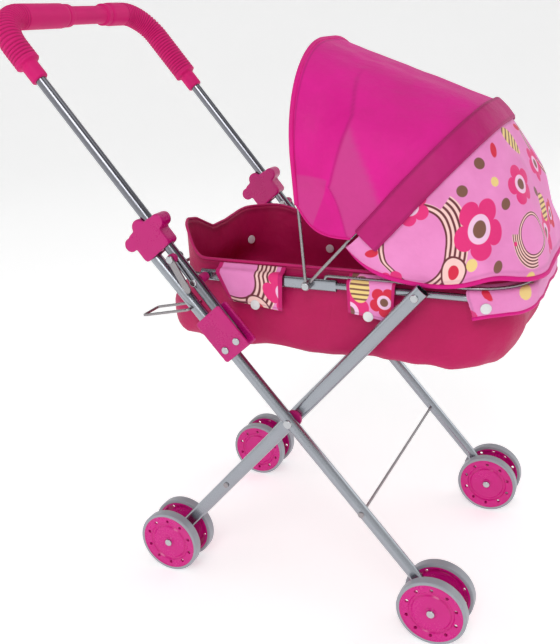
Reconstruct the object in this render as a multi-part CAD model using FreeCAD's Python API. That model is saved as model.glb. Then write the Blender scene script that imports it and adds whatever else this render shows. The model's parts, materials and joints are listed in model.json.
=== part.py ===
import FreeCAD, Part
import math
import os

# Folding doll stroller: two crossed pairs of tube legs on twin disc wheels, a push handle that
# pivots beside the front legs, a fabric tub hung on flat side rails, and a folding hood.
# +X points forward (away from the person pushing), +Y is left, +Z is up. The origin is on the
# floor under the middle of the whole stroller. Right-hand parts are built, left-hand ones mirrored.

V = FreeCAD.Vector

# ---- overall sizes (mm, degrees) ----
FRONT_AXLE_X = 169.3      # front axle ahead of the origin
WHEELBASE = 258.5         # front axle to rear axle
WHEEL_D = 60.0
RAIL_Y = 90.0             # half the distance between the side rails, sets the whole width
FRONT_LEG_ANGLE = 48.6    # front leg above the floor
FRONT_LEG_TOP = 381.0     # front axle to the top of the front leg tube
CROSS_ALONG = 194.8       # front axle to the crossing pivot
REAR_LEG_UPPER = 156.4    # crossing pivot to the rail pivot on the rear leg
HANDLE_ANGLE = 50.45      # handle above the floor
HANDLE_REACH = 339.0      # handle pivot to the middle of the cross bar
HANDLE_PIVOT_ALONG = 276.1    # front axle to the handle pivot, along the front leg
CROSS_WIRE_ALONG = 97.0   # front axle to the wire that ties the front legs
REAR_WIRE_ALONG = 89.0    # rear axle to the wire that ties the rear legs

# ---- tubes, wires and pins ----
FRONT_TUBE_D = 10.5
REAR_TUBE_W = 12.0        # flattened rear tube, across
REAR_TUBE_T = 8.0         # flattened rear tube, thickness
HANDLE_TUBE_D = 9.5
TUBE_WALL = 0.8
HANDLE_BEND_R = 32.0
TUBE_END = 8.0            # tube beyond its last pivot
HANDLE_FOOT = 3.5         # handle tube below its pivot
CROSS_WIRE_D = 2.6
PEEN_T = 1.2              # flattened end of a stay wire
AXLE_D = 4.0
AXLE_HEAD_D = 7.0
RIVET_D = 3.2
CROSS_PIN_D = 4.0
CROSS_HEAD_D = 7.6
RIVET_HEAD_D = 6.6
RIVET_TAIL_D = 5.0
RIVET_HEAD_T = 1.4
FIT = 0.03                # fixed pin in its hole, radial
RUN = 0.08                # turning pin in its hole, radial
PRESS = 0.05              # tyre and hub, radial
SIDE_GAP = 0.3            # side clearance between moving neighbours
LEG_GAP = 3.25            # front leg to rear leg at the crossing
WASHER_T = 2.2            # rail washer
SPACER_D = 8.0            # washers and spacers on the rivets
CROSS_SPACER_D = 15.0

# ---- wheels ----
TYRE_W = 9.0
TYRE_T = 2.9
WHEEL_CLEAR = 3.75        # front leg to the side of a wheel
RIM_T = 2.0
WEB_T = 2.0
BOSS_D = 9.0
RIM_HOLES = 10
RIM_HOLE_D = 3.2
RIM_HOLE_R = 22.0
RIM_HOLE_START = 18.0     # angle of the first rim hole

# ---- hinge block, collar and catch ----
BLOCK_FROM = 267.0        # along the front leg
BLOCK_TO = 309.0
BLOCK_WALL = 2.25         # block round the leg
SLOT_CLEAR = 1.95         # handle to the floor of its slot
BLOCK_LIP = 8.2           # block in front of the handle's centre
COLLAR_LEN = 28.0
COLLAR_WALL = 2.55        # collar beside the leg
COLLAR_FACE = 2.85        # collar in front of the handle
COLLAR_HOOK = 9.4         # collar behind the leg's centre
COLLAR_TOP = 7.0          # top of the front leg to the middle of the collar
COLLAR_WING_R = 6.2
LEVER_PIVOT = 87.0        # along the handle from its pivot
LEVER_LEN = 29.0
LEVER_W = 6.0
LEVER_T = 1.6
LEVER_SPACER = 5.0
BAIL_ALONG = 322.0        # bail eyes on the front leg
BAIL_REACH = 46.0
BAIL_HALF = 12.0          # half the bail's width
BAIL_WIRE_D = 2.4
BAIL_ANGLE = 12.0         # bail below level

# ---- grips ----
GRIP_D = 22.4
CUFF_D = 15.0
CUFF_LEN = 15.0
SLEEVE_D = 17.0
SLEEVE_RING_D = 21.0
SLEEVE_RING_W = 7.0
GRIP_SHIFT = 16.0         # the soft grip sits this far left of the middle
SLEEVE_HALF = 34.0
GRIP_SIDE = 257.5         # handle pivot to the grip's end when centred

# ---- basket (distances along X are from the front axle) ----
RAIL_H = 10.0
RAIL_T = 5.0
RAIL_WALL = 0.7
RAIL_PAST_HOOD = 24.0     # hood pivot to the front end of the side rail
RAIL_REAR_TAIL = 6.0      # rail rivet to the rear end of the side rail
HOOD_PIVOT_BACK = 117.0
HEAD_END_AHEAD = 50.3     # outer end of the tub's rim at the head
FOOT_END_BACK = 250.0     # outer end of the tub's rim at the foot
TUB_FLOOR_Z = 234.0
TUB_RISE = 11.0           # the tub's rim above the rail centre
TUB_WALL = 1.6
TUB_CORNER_R = 40.0
TUB_TAPER = 8.0           # the tub's floor is this much shorter at each end
RIM_TUBE_D = 6.0
FOOT_WIRE_D = 3.0
BASE_WIRE_PAST_HOOD = 14.0    # hood pivot to the foot of the hood's base wire
BASE_WIRE_BEND = 3.0
BOARD_T = 2.0
FLAP_T = 0.8
FLAP_BOTTOM = 25.0        # rail centre down to the side flaps' lower edge
FLAPS_BACK = ((192.0, 134.0), (83.0, 43.0))
APRON_AHEAD = 12.0        # where the head apron starts
APRON_BOTTOM = 12.0       # rail centre down to the apron's lower edge
SNAP_D = 8.6
SNAP_T = 1.1
SNAP_BACK_T = 1.0
SNAP_BELOW = 18.5         # rail centre down to the side snaps
APRON_SNAP_BELOW = 6.0
APRON_SNAP_TURN = 20.0    # the apron's snap sits this far round the tub's corner, in degrees

# ---- hood ----
BOW_WIRE_D = 2.6
BOW_EYE_D = 7.6
BOW_EYE_T = 2.2
BOW_BEND_R = 86.0
FRONT_BOW_R = 188.0       # hood pivot to the crown of the front bow
MID_BOW_R = 183.0
FRONT_BOW_ANGLE = 94.0    # above the rail, measured from the head end
MID_BOW_ANGLE = 47.0
HOOD_SKIN = 1.4
SKIN_GAP = 0.4            # bow wire to the skin round it
VISOR_BOTTOM = 68.0       # hood pivot to the visor's lower edge
CANOPY_BOTTOM = 62.0
CANOPY_BULGE_R = 172.0    # hood pivot to the canopy half way down
CANOPY_END_R = 177.0
CANOPY_LOW_ANGLE = 6.0
CANOPY_LOW_HALF = 93.4    # half width inside the canopy's lower edge
CANOPY_LOW_BEND_R = 50.0  # the canopy's lower edge follows the tub's corners
BAND_DEGREES = 6.0        # the band over the middle bow
HEM_DEGREES = 2.0         # the visor's hem, ahead of the front bow
SEAM_DEGREES = 0.6        # gap between neighbouring skins
SKIN_DROP = 2.0           # the hood's profile falls this much across the band


# ---- places worked out from the sizes above ----
AXLE_Z = WHEEL_D / 2
FRONT_AXLE = V(FRONT_AXLE_X, 0, AXLE_Z)
REAR_AXLE = V(FRONT_AXLE_X - WHEELBASE, 0, AXLE_Z)
LEG_A = math.radians(FRONT_LEG_ANGLE)
LEG_DIR = V(-math.cos(LEG_A), 0, math.sin(LEG_A))
LEG_NORMAL = V(math.sin(LEG_A), 0, math.cos(LEG_A))
HANDLE_A = math.radians(HANDLE_ANGLE)
HANDLE_DIR = V(-math.cos(HANDLE_A), 0, math.sin(HANDLE_A))
HANDLE_NORMAL = V(math.sin(HANDLE_A), 0, math.cos(HANDLE_A))
SIDE = V(0, 1, 0)
UP = V(0, 0, 1)
RIM_OUT = RAIL_Y + RIM_TUBE_D / 2
REAR_LEG_Y = RIM_OUT + SIDE_GAP + WASHER_T + REAR_TUBE_T / 2
FRONT_LEG_Y = REAR_LEG_Y + REAR_TUBE_T / 2 + LEG_GAP + FRONT_TUBE_D / 2
WHEEL_PITCH = FRONT_TUBE_D / 2 + WHEEL_CLEAR + TYRE_W / 2
SLOT_FLOOR = FRONT_TUBE_D / 2 + BLOCK_WALL
HANDLE_PIVOT_OFFSET = SLOT_FLOOR + SLOT_CLEAR + HANDLE_TUBE_D / 2
BLOCK_FRONT = HANDLE_PIVOT_OFFSET + BLOCK_LIP
BLOCK_T = FRONT_TUBE_D + 2 * BLOCK_WALL
COLLAR_T = FRONT_TUBE_D + 2 * COLLAR_WALL
COLLAR_FRONT = HANDLE_TUBE_D / 2 + COLLAR_FACE
COLLAR_REAR = HANDLE_PIVOT_OFFSET + COLLAR_HOOK


def at_y(point, y):
    """The same place in the side view, moved to the given Y."""
    return V(point.x, y, point.z)


def on_leg(along, offset=0.0, y=0.0):
    """A point measured along the front leg from its axle, and squarely in front of it."""
    return at_y(FRONT_AXLE + LEG_DIR * along + LEG_NORMAL * offset, y)


CROSS = on_leg(CROSS_ALONG)
REAR_DIR = (CROSS - REAR_AXLE).normalize()
REAR_WIRE = REAR_AXLE + REAR_DIR * REAR_WIRE_ALONG
RAIL_PIVOT = CROSS + REAR_DIR * REAR_LEG_UPPER
RAIL_Z = RAIL_PIVOT.z
HANDLE_PIVOT = on_leg(HANDLE_PIVOT_ALONG, HANDLE_PIVOT_OFFSET)


def on_handle(along, offset=0.0, y=0.0):
    """A point measured along the handle from its pivot, and squarely in front of it."""
    return at_y(HANDLE_PIVOT + HANDLE_DIR * along + HANDLE_NORMAL * offset, y)


RAIL_REAR_ALONG = (RAIL_Z - HANDLE_PIVOT.z) / HANDLE_DIR.z
RAIL_REAR = on_handle(RAIL_REAR_ALONG)
HOOD_PIVOT_X = FRONT_AXLE_X - HOOD_PIVOT_BACK
HEAD_END_X = FRONT_AXLE_X + HEAD_END_AHEAD
FOOT_END_X = FRONT_AXLE_X - FOOT_END_BACK
HOOD_PIVOT = V(HOOD_PIVOT_X, 0, RAIL_Z)
RAIL_FRONT_X = HOOD_PIVOT_X + RAIL_PAST_HOOD
BASE_WIRE_X = HOOD_PIVOT_X + BASE_WIRE_PAST_HOOD
FRONT_TUBE_IN = FRONT_LEG_Y - FRONT_TUBE_D / 2
FRONT_TUBE_OUT = FRONT_LEG_Y + FRONT_TUBE_D / 2
HANDLE_IN = FRONT_LEG_Y - HANDLE_TUBE_D / 2
HANDLE_OUT = FRONT_LEG_Y + HANDLE_TUBE_D / 2
REAR_TUBE_IN = REAR_LEG_Y - REAR_TUBE_T / 2
REAR_TUBE_OUT = REAR_LEG_Y + REAR_TUBE_T / 2
RAIL_IN = RAIL_Y - RAIL_T / 2
RAIL_OUT = RAIL_Y + RAIL_T / 2
PIVOT_TAIL = RAIL_Y - RIM_TUBE_D / 2 - SIDE_GAP
TUB_HALF = PIVOT_TAIL - RIVET_HEAD_T - SIDE_GAP
RAIL_GROW = RAIL_Y - TUB_HALF
TUB_RIM_Z = RAIL_Z + TUB_RISE
CLOTH_IN = RIM_OUT + SIDE_GAP
CLOTH_OUT = CLOTH_IN + FLAP_T
CLOTH_TOP = RAIL_Z + RAIL_H / 2 + SIDE_GAP + FLAP_T
RIVET_TAIL_Y = CLOTH_OUT + SIDE_GAP + RIVET_HEAD_T
BASE_WIRE_Z = CLOTH_TOP + SIDE_GAP + BOW_WIRE_D / 2
MID_BOW_Y = RAIL_OUT + SIDE_GAP + BOW_WIRE_D / 2
FRONT_BOW_Y = MID_BOW_Y + BOW_WIRE_D + SIDE_GAP
SKIN_ADD = BOW_WIRE_D / 2 + SKIN_GAP
SKIN_HALF = FRONT_BOW_Y + SKIN_ADD
LEVER_Y = HANDLE_OUT + LEVER_SPACER


# ---- shape helpers ----
def cylinder_y(point, radius, y_from, y_to):
    """A cylinder along Y through a point of the side view."""
    low = min(y_from, y_to)
    return Part.makeCylinder(radius, abs(y_to - y_from), at_y(point, low), SIDE)


def ring_y(point, outer, inner, y_from, y_to):
    """A plain ring or spacer along Y."""
    return cylinder_y(point, outer, y_from, y_to).cut(cylinder_y(point, inner, y_from, y_to))


def rivet(point, radius, y_outer, y_inner, head_d=RIVET_HEAD_D, tail_d=RIVET_HEAD_D):
    """A right-hand rivet: shank from y_outer to y_inner, a domed head on each end."""
    shank = cylinder_y(point, radius, y_outer, y_inner)
    outward = 1 if y_outer > y_inner else -1
    ends = ((y_outer, outward, head_d), (y_inner, -outward, tail_d))
    for y, way, head in ends:
        cap = cylinder_y(point, head / 2, y, y + way * RIVET_HEAD_T)
        rim = [e for e in cap.Edges if abs(e.BoundBox.YMin - y - way * RIVET_HEAD_T) < 1e-6
               and abs(e.BoundBox.YMax - y - way * RIVET_HEAD_T) < 1e-6]
        shank = shank.fuse(cap.makeFillet(RIVET_HEAD_T * 0.7, rim))
    return shank.removeSplitter()


def prism(points, y_from, y_to):
    """A side-view outline pulled along Y."""
    low = min(y_from, y_to)
    wire = Part.makePolygon([at_y(p, low) for p in points + points[:1]])
    return Part.Face(wire).extrude(V(0, abs(y_to - y_from), 0))


def rounded(shape, radius, test):
    """Fillet the edges that a test picks."""
    return shape.makeFillet(radius, [e for e in shape.Edges if test(e)])


def runs_along_y(edge):
    box = edge.BoundBox
    return box.YLength > 1.0 and box.XLength < 1e-4 and box.ZLength < 1e-4


def round_tube(start, end, outer, wall):
    """A straight round tube."""
    way = end - start
    solid = Part.makeCylinder(outer / 2, way.Length, start, way)
    return solid.cut(Part.makeCylinder(outer / 2 - wall, way.Length, start, way))


def stadium(centre, wide, thin, width, thickness):
    """Wire of a flattened tube section: two half circles joined by flats."""
    r = thickness / 2
    a = centre + wide * (width / 2 - r)
    b = centre - wide * (width / 2 - r)
    arcs = [Part.Arc(a + thin * r, a + wide * r, a - thin * r),
            Part.LineSegment(a - thin * r, b - thin * r),
            Part.Arc(b - thin * r, b - wide * r, b + thin * r),
            Part.LineSegment(b + thin * r, a + thin * r)]
    return Part.Wire([c.toShape() for c in arcs])


def flat_tube(start, end, thin, width, thickness, wall):
    """A straight flattened tube whose thickness lies along thin."""
    way = end - start
    wide = V(way).normalize().cross(thin)
    outer = Part.Face(stadium(start, wide, thin, width, thickness)).extrude(way)
    inner_wire = stadium(start, wide, thin, width - 2 * wall, thickness - 2 * wall)
    return outer.cut(Part.Face(inner_wire).extrude(way))


def sweep(path_edges, radius):
    """A round bar along a tangent path."""
    path = Part.Wire(path_edges)
    first = path_edges[0]
    start = first.valueAt(first.FirstParameter)
    way = first.tangentAt(first.FirstParameter)
    profile = Part.Wire([Part.Circle(start, way, radius).toShape()])
    return path.makePipeShell([profile], True, False)


def bent_path(points, radius):
    """Straight runs through the points, joined by tangent arcs of one radius."""
    edges = []
    last = points[0]
    for before, corner, after in zip(points, points[1:], points[2:]):
        back = (before - corner).normalize()
        ahead = (after - corner).normalize()
        half = back.getAngle(ahead) / 2
        cut = radius / math.tan(half)
        middle = corner + (back + ahead).normalize() * (radius / math.sin(half) - radius)
        edges.append(Part.LineSegment(last, corner + back * cut).toShape())
        edges.append(Part.Arc(corner + back * cut, middle, corner + ahead * cut).toShape())
        last = corner + ahead * cut
    edges.append(Part.LineSegment(last, points[-1]).toShape())
    return edges


def mirrored(shape):
    """The left-hand copy of a right-hand piece."""
    return shape.mirror(V(0, 0, 0), SIDE)


def both(shape):
    """Right-hand piece and its left-hand copy, as one group of separate solids."""
    return [shape, mirrored(shape)]


PARTS = {}


def add(name, shapes):
    """Store the solids of one node."""
    shapes = shapes if isinstance(shapes, list) else [shapes]
    solids = [solid for shape in shapes for solid in shape.Solids]
    PARTS[name] = solids[0] if len(solids) == 1 else Part.makeCompound(solids)


def add_pair(name, shape):
    """Store a right-hand piece and its left-hand copy as two nodes."""
    add(name + "_right", shape)
    add(name + "_left", mirrored(shape))


# ---- legs and their fasteners ----
def front_leg():
    """Front leg tube, from below its axle to the top inside the collar."""
    tube = round_tube(on_leg(-TUBE_END, 0, -FRONT_LEG_Y), on_leg(FRONT_LEG_TOP, 0, -FRONT_LEG_Y),
                      FRONT_TUBE_D, TUBE_WALL)
    holes = ((0, AXLE_D / 2 + FIT), (CROSS_ALONG, CROSS_PIN_D / 2 + FIT),
             (HANDLE_PIVOT_ALONG, RIVET_D / 2 + FIT), (BAIL_ALONG, BAIL_WIRE_D / 2 + RUN),
             (CROSS_WIRE_ALONG, CROSS_WIRE_D / 2 + FIT))
    for along, radius in holes:
        tube = tube.cut(cylinder_y(on_leg(along), radius, -FRONT_TUBE_OUT - 1, -FRONT_TUBE_IN + 1))
    return tube


def rear_leg():
    """Rear leg, a flattened tube from below its axle to above the rail pivot."""
    start = at_y(REAR_AXLE - REAR_DIR * TUBE_END, -REAR_LEG_Y)
    end = at_y(RAIL_PIVOT + REAR_DIR * TUBE_END, -REAR_LEG_Y)
    tube = flat_tube(start, end, SIDE, REAR_TUBE_W, REAR_TUBE_T, TUBE_WALL)
    holes = ((REAR_AXLE, AXLE_D / 2 + FIT), (CROSS, CROSS_PIN_D / 2 + RUN),
             (RAIL_PIVOT, RIVET_D / 2 + FIT), (REAR_WIRE, CROSS_WIRE_D / 2 + FIT))
    for point, radius in holes:
        tube = tube.cut(cylinder_y(point, radius, -REAR_TUBE_OUT - 1, -REAR_TUBE_IN + 1))
    return tube


def cross_wire(point, half):
    """A stay wire between two legs, its ends peened outside the tubes."""
    wire = cylinder_y(point, CROSS_WIRE_D / 2, -half, half)
    for way in (-1, 1):
        wire = wire.fuse(cylinder_y(point, CROSS_WIRE_D, way * half, way * (half + PEEN_T)))
    return wire.removeSplitter()


def axle(point, leg_y):
    """A wheel axle with a rounded head outside each wheel."""
    reach = WHEEL_PITCH + TYRE_W / 2 + SIDE_GAP
    return rivet(point, AXLE_D / 2, -leg_y - reach, -leg_y + reach, AXLE_HEAD_D, AXLE_HEAD_D)


# ---- wheels ----
def revolve_y(outline, centre):
    """Turn an outline of (radius, depth) pairs about the Y axis through a point."""
    points = [V(centre.x + r, centre.y + d, centre.z) for r, d in outline]
    face = Part.Face(Part.makePolygon(points + points[:1]))
    return face.revolve(centre, SIDE, 360)


def wheel_hub(point, y_outer, way, tube_half):
    """Dished plastic wheel, open at the back. way points from the decorated face to the leg."""
    rim = WHEEL_D / 2 - TYRE_T - PRESS
    boss_depth = WHEEL_PITCH + TYRE_W / 2 - tube_half - SIDE_GAP
    outline = [(AXLE_D / 2 + RUN, 0), (BOSS_D / 2, 0), (BOSS_D / 2 + 0.8, 0.9), (16.0, 0.9),
               (17.2, 2.0), (19.0, 2.0), (20.0, 0.9), (rim - 1.4, 0.5), (rim - 0.6, 0),
               (rim, 0), (rim, TYRE_W - 0.4), (rim - RIM_T, TYRE_W - 0.4),
               (rim - RIM_T, 1.0 + WEB_T), (20.4, 1.0 + WEB_T), (19.4, 2.0 + WEB_T),
               (16.8, 2.0 + WEB_T), (15.6, 1.0 + WEB_T), (BOSS_D / 2, 1.0 + WEB_T),
               (BOSS_D / 2, boss_depth), (AXLE_D / 2 + RUN, boss_depth)]
    hub = revolve_y([(r, d * way) for r, d in outline], at_y(point, y_outer))
    for i in range(RIM_HOLES):
        a = math.radians(RIM_HOLE_START + i * 360.0 / RIM_HOLES)
        spot = point + V(math.cos(a), 0, math.sin(a)) * RIM_HOLE_R
        hub = hub.cut(cylinder_y(spot, RIM_HOLE_D / 2, y_outer - way, y_outer + way * (WEB_T + 3)))
    return hub


def tyre(point, y_outer, way):
    """Hard tyre ring with rounded shoulders, pressed round the hub."""
    r_out = WHEEL_D / 2
    r_in = r_out - TYRE_T
    outline = [(r_in, 0), (r_out - 1.0, 0), (r_out - 0.3, 0.3), (r_out, 1.0), (r_out, TYRE_W - 1.0),
               (r_out - 0.3, TYRE_W - 0.3), (r_out - 1.0, TYRE_W), (r_in, TYRE_W)]
    return revolve_y([(r, d * way) for r, d in outline], at_y(point, y_outer))


def wheels():
    """Twin wheels on each of the four legs, every one free on its axle."""
    for place, point, leg_y, tube_half in (
            ("front", FRONT_AXLE, FRONT_LEG_Y, FRONT_TUBE_D / 2),
            ("rear", REAR_AXLE, REAR_LEG_Y, REAR_TUBE_T / 2)):
        for side, sign in (("right", -1), ("left", 1)):
            for disc, outward in (("outer", 1), ("inner", -1)):
                y = sign * (leg_y + outward * (WHEEL_PITCH + TYRE_W / 2))
                way = -sign * outward
                name = place + "_" + side + "_" + disc
                add("hub_" + name, wheel_hub(point, y, way, tube_half))
                add("tyre_" + name, tyre(point, y, way))


# ---- hinge block, handle, collar, catch ----
def hinge_block():
    """Moulded block clamped on the front leg, with a slot that the handle swings out of."""
    corners = [on_leg(BLOCK_FROM, -SLOT_FLOOR), on_leg(BLOCK_FROM, BLOCK_FRONT),
               on_leg(BLOCK_TO, BLOCK_FRONT), on_leg(BLOCK_TO, -SLOT_FLOOR)]
    y_out = -FRONT_LEG_Y - BLOCK_T / 2
    y_in = -FRONT_LEG_Y + BLOCK_T / 2
    block = rounded(prism(corners, y_out, y_in), 2.5, runs_along_y)
    block = block.cut(Part.makeCylinder(FRONT_TUBE_D / 2 + FIT, BLOCK_TO - BLOCK_FROM + 20,
                                        on_leg(BLOCK_FROM - 10, 0, -FRONT_LEG_Y), LEG_DIR))
    slot = [on_leg(BLOCK_FROM - 10, SLOT_FLOOR), on_leg(BLOCK_FROM - 10, BLOCK_FRONT + 5),
            on_leg(BLOCK_TO + 10, BLOCK_FRONT + 5), on_leg(BLOCK_TO + 10, SLOT_FLOOR)]
    block = block.cut(prism(slot, -HANDLE_OUT - SIDE_GAP, -HANDLE_IN + SIDE_GAP))
    for point in (HANDLE_PIVOT, on_leg(HANDLE_PIVOT_ALONG)):
        block = block.cut(cylinder_y(point, RIVET_D / 2 + FIT, y_out - 1, y_in + 1))
    return block


def frame_rivets():
    """Handle pivots, block rivets and crossing pivots, all fixed to the front legs."""
    half = BLOCK_T / 2
    pins = []
    for point in (HANDLE_PIVOT, on_leg(HANDLE_PIVOT_ALONG)):
        pins += both(rivet(point, RIVET_D / 2, -FRONT_LEG_Y - half, -FRONT_LEG_Y + half))
    pins += both(rivet(CROSS, CROSS_PIN_D / 2, -FRONT_TUBE_OUT, -REAR_TUBE_IN + SIDE_GAP,
                       CROSS_HEAD_D, CROSS_HEAD_D))
    return pins


def cross_spacer():
    """Plastic spacer on the crossing pivot, between the legs."""
    return ring_y(CROSS, CROSS_SPACER_D / 2, CROSS_PIN_D / 2 + FIT, -FRONT_TUBE_IN,
                  -REAR_TUBE_OUT - SIDE_GAP)


def handle_path(from_along):
    """Centre line of the U-shaped handle, right side first."""
    start = on_handle(from_along, 0, -FRONT_LEG_Y)
    top_right = on_handle(HANDLE_REACH, 0, -FRONT_LEG_Y)
    top_left = on_handle(HANDLE_REACH, 0, FRONT_LEG_Y)
    end = on_handle(from_along, 0, FRONT_LEG_Y)
    return bent_path([start, top_right, top_left, end], HANDLE_BEND_R)


def handle_tube():
    """Bright U-shaped tube, drilled for its pivot, the rail rivet and the catch rivet."""
    path = handle_path(-HANDLE_FOOT)
    tube = sweep(path, HANDLE_TUBE_D / 2).cut(sweep(path, HANDLE_TUBE_D / 2 - TUBE_WALL))
    holes = ((0, RIVET_D / 2 + RUN), (RAIL_REAR_ALONG, RIVET_D / 2 + FIT),
             (LEVER_PIVOT, RIVET_D / 2 + FIT))
    for along, radius in holes:
        hole = cylinder_y(on_handle(along), radius, -HANDLE_OUT - 1, -HANDLE_IN + 1)
        tube = tube.cut(hole).cut(mirrored(hole))
    return tube


def grips():
    """Right, middle and left sections of the soft grip, shifted along the bar together."""
    bore = sweep(handle_path(-HANDLE_FOOT), HANDLE_TUBE_D / 2 + FIT)
    for name, sign in (("right", -1), ("left", 1)):
        low = GRIP_SIDE - sign * GRIP_SHIFT
        inner_y = sign * SLEEVE_HALF + GRIP_SHIFT
        side_y = sign * FRONT_LEG_Y
        path = bent_path([on_handle(low + CUFF_LEN, 0, side_y), on_handle(HANDLE_REACH, 0, side_y),
                          on_handle(HANDLE_REACH, 0, inner_y)], HANDLE_BEND_R)
        thick = sweep(path, GRIP_D / 2)
        cuff = Part.makeCylinder(CUFF_D / 2, CUFF_LEN + 0.5, on_handle(low, 0, side_y), HANDLE_DIR)
        add("grip_" + name, thick.fuse(cuff).removeSplitter().cut(bore))
    middle = on_handle(HANDLE_REACH)
    y_from = GRIP_SHIFT - SLEEVE_HALF
    y_to = GRIP_SHIFT + SLEEVE_HALF
    sleeve = cylinder_y(middle, SLEEVE_D / 2, y_from, y_to)
    for y in (y_from, y_to - SLEEVE_RING_W):
        sleeve = sleeve.fuse(cylinder_y(middle, SLEEVE_RING_D / 2, y, y + SLEEVE_RING_W))
    add("grip_middle", sleeve.removeSplitter().cut(bore))


def collar():
    """Clover-shaped slide collar: round the handle, and hooked over the front leg's top."""
    centre = FRONT_LEG_TOP + COLLAR_TOP - HANDLE_PIVOT_ALONG
    low = centre - COLLAR_LEN / 2
    high = centre + COLLAR_LEN / 2
    corners = [on_handle(low, -COLLAR_REAR), on_handle(low, COLLAR_FRONT),
               on_handle(high, COLLAR_FRONT), on_handle(high, -COLLAR_REAR)]
    y_out = -FRONT_LEG_Y - COLLAR_T / 2
    y_in = -FRONT_LEG_Y + COLLAR_T / 2
    body = rounded(prism(corners, y_out, y_in), 4.0, runs_along_y)
    for offset in (COLLAR_FRONT + 2.0, -COLLAR_REAR - 2.0):
        body = body.fuse(cylinder_y(on_handle(high - 7.0, offset), COLLAR_WING_R, y_out, y_in))
    body = body.fuse(cylinder_y(on_handle(high - 1.0, -8.0), COLLAR_WING_R + 1.0, y_out, y_in))
    body = body.removeSplitter()
    body = body.cut(Part.makeCylinder(HANDLE_TUBE_D / 2 + RUN, COLLAR_LEN + 40,
                                      on_handle(low - 20, 0, -FRONT_LEG_Y), HANDLE_DIR))
    pocket_front = HANDLE_TUBE_D / 2 + 2.0
    pocket = [on_handle(low - 5, -COLLAR_REAR - 12), on_handle(low - 5, -pocket_front),
              on_handle(centre + 1.5, -pocket_front), on_handle(centre + 1.5, -COLLAR_REAR - 12)]
    return body.cut(prism(pocket, -FRONT_TUBE_OUT - SIDE_GAP, -FRONT_TUBE_IN + SIDE_GAP))


def catch_lever():
    """Flat catch lever on the outside of the handle."""
    top = on_handle(LEVER_PIVOT)
    way = (on_leg(BAIL_ALONG, 8.5) - top).normalize()
    tip = top + way * LEVER_LEN
    middle = (top + tip) * 0.5
    wire = stadium(at_y(middle, -LEVER_Y - LEVER_T), way, way.cross(SIDE), LEVER_LEN + LEVER_W,
                   LEVER_W)
    plate = Part.Face(wire).extrude(V(0, LEVER_T, 0))
    return plate.cut(cylinder_y(top, RIVET_D / 2 + RUN, -LEVER_Y - 5, -LEVER_Y + 5))


def catch_rivet():
    """Rivet through the handle that carries the catch lever."""
    return rivet(on_handle(LEVER_PIVOT), RIVET_D / 2, -LEVER_Y - LEVER_T - SIDE_GAP, -HANDLE_IN)


def catch_spacer():
    """Plastic spacer between the handle and the catch lever."""
    return ring_y(on_handle(LEVER_PIVOT), SPACER_D / 2, RIVET_D / 2 + FIT, -LEVER_Y + SIDE_GAP,
                  -HANDLE_OUT)


def rail_rivet():
    """Rivet and stand-off on the handle, beside the rear end of the side rail."""
    return rivet(RAIL_REAR, RIVET_D / 2, -HANDLE_OUT, -RIVET_TAIL_Y)


def rail_spacer():
    """Plastic stand-off round the rail rivet, inside the handle."""
    return ring_y(RAIL_REAR, SPACER_D / 2, RIVET_D / 2 + FIT, -HANDLE_IN, -RIVET_TAIL_Y)


def latch_bail():
    """Bent wire bail, its ends sprung into the front leg, that hooks the catch lever."""
    a = math.radians(BAIL_ANGLE)
    eye = on_leg(BAIL_ALONG)
    tip = eye + V(-math.cos(a), 0, -math.sin(a)) * BAIL_REACH
    y_out = -FRONT_LEG_Y - BAIL_HALF
    y_in = -FRONT_LEG_Y + BAIL_HALF
    inside = FRONT_TUBE_D / 2 - TUBE_WALL - 1.0
    points = [at_y(eye, -FRONT_LEG_Y - inside), at_y(eye, y_out), at_y(tip, y_out),
              at_y(tip, y_in), at_y(eye, y_in), at_y(eye, -FRONT_LEG_Y + inside)]
    return sweep(bent_path(points, 2.6), BAIL_WIRE_D / 2)


# ---- basket frame ----
def side_rail():
    """Flat oval rail from beside the handle to just past the hood pivot."""
    start = V(RAIL_REAR.x - RAIL_REAR_TAIL, -RAIL_Y, RAIL_Z)
    end = V(RAIL_FRONT_X, -RAIL_Y, RAIL_Z)
    rail = flat_tube(start, end, SIDE, RAIL_H, RAIL_T, RAIL_WALL)
    rail = rail.cut(cylinder_y(HOOD_PIVOT, RIVET_D / 2 + FIT, -RAIL_OUT - 1, -RAIL_IN + 1))
    wire_hole = Part.makeCylinder(BOW_WIRE_D / 2 + FIT, RAIL_H, V(BASE_WIRE_X, -RAIL_Y, RAIL_Z), UP)
    return rail.cut(wire_hole)


def round_end(start_x, tip_x, z, bend, wire_d):
    """A U of wire or tube at rail height: along one side, round an end, back along the other."""
    points = [V(start_x, -RAIL_Y, z), V(tip_x, -RAIL_Y, z), V(tip_x, RAIL_Y, z),
              V(start_x, RAIL_Y, z)]
    return sweep(bent_path(points, bend), wire_d / 2)


def head_rail():
    """Round tube that carries on from the side rails and runs round the head end."""
    tube = round_end(RAIL_FRONT_X + FIT, HEAD_END_X + RAIL_GROW, RAIL_Z, TUB_CORNER_R + RAIL_GROW,
                     RIM_TUBE_D)
    hole = cylinder_y(RAIL_PIVOT, RIVET_D / 2 + RUN, -RIM_OUT - 1, -PIVOT_TAIL + 1)
    return tube.cut(hole).cut(mirrored(hole))


def foot_wire():
    """Wire plugged into the rails' rear ends that holds the foot end of the tub open."""
    tip = FOOT_END_X - FOOT_WIRE_D / 2 - SIDE_GAP
    bend = RAIL_REAR.x - RAIL_REAR_TAIL - SIDE_GAP - tip
    return round_end(RAIL_REAR.x + RAIL_REAR_TAIL, tip, RAIL_Z, bend, FOOT_WIRE_D)


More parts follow.
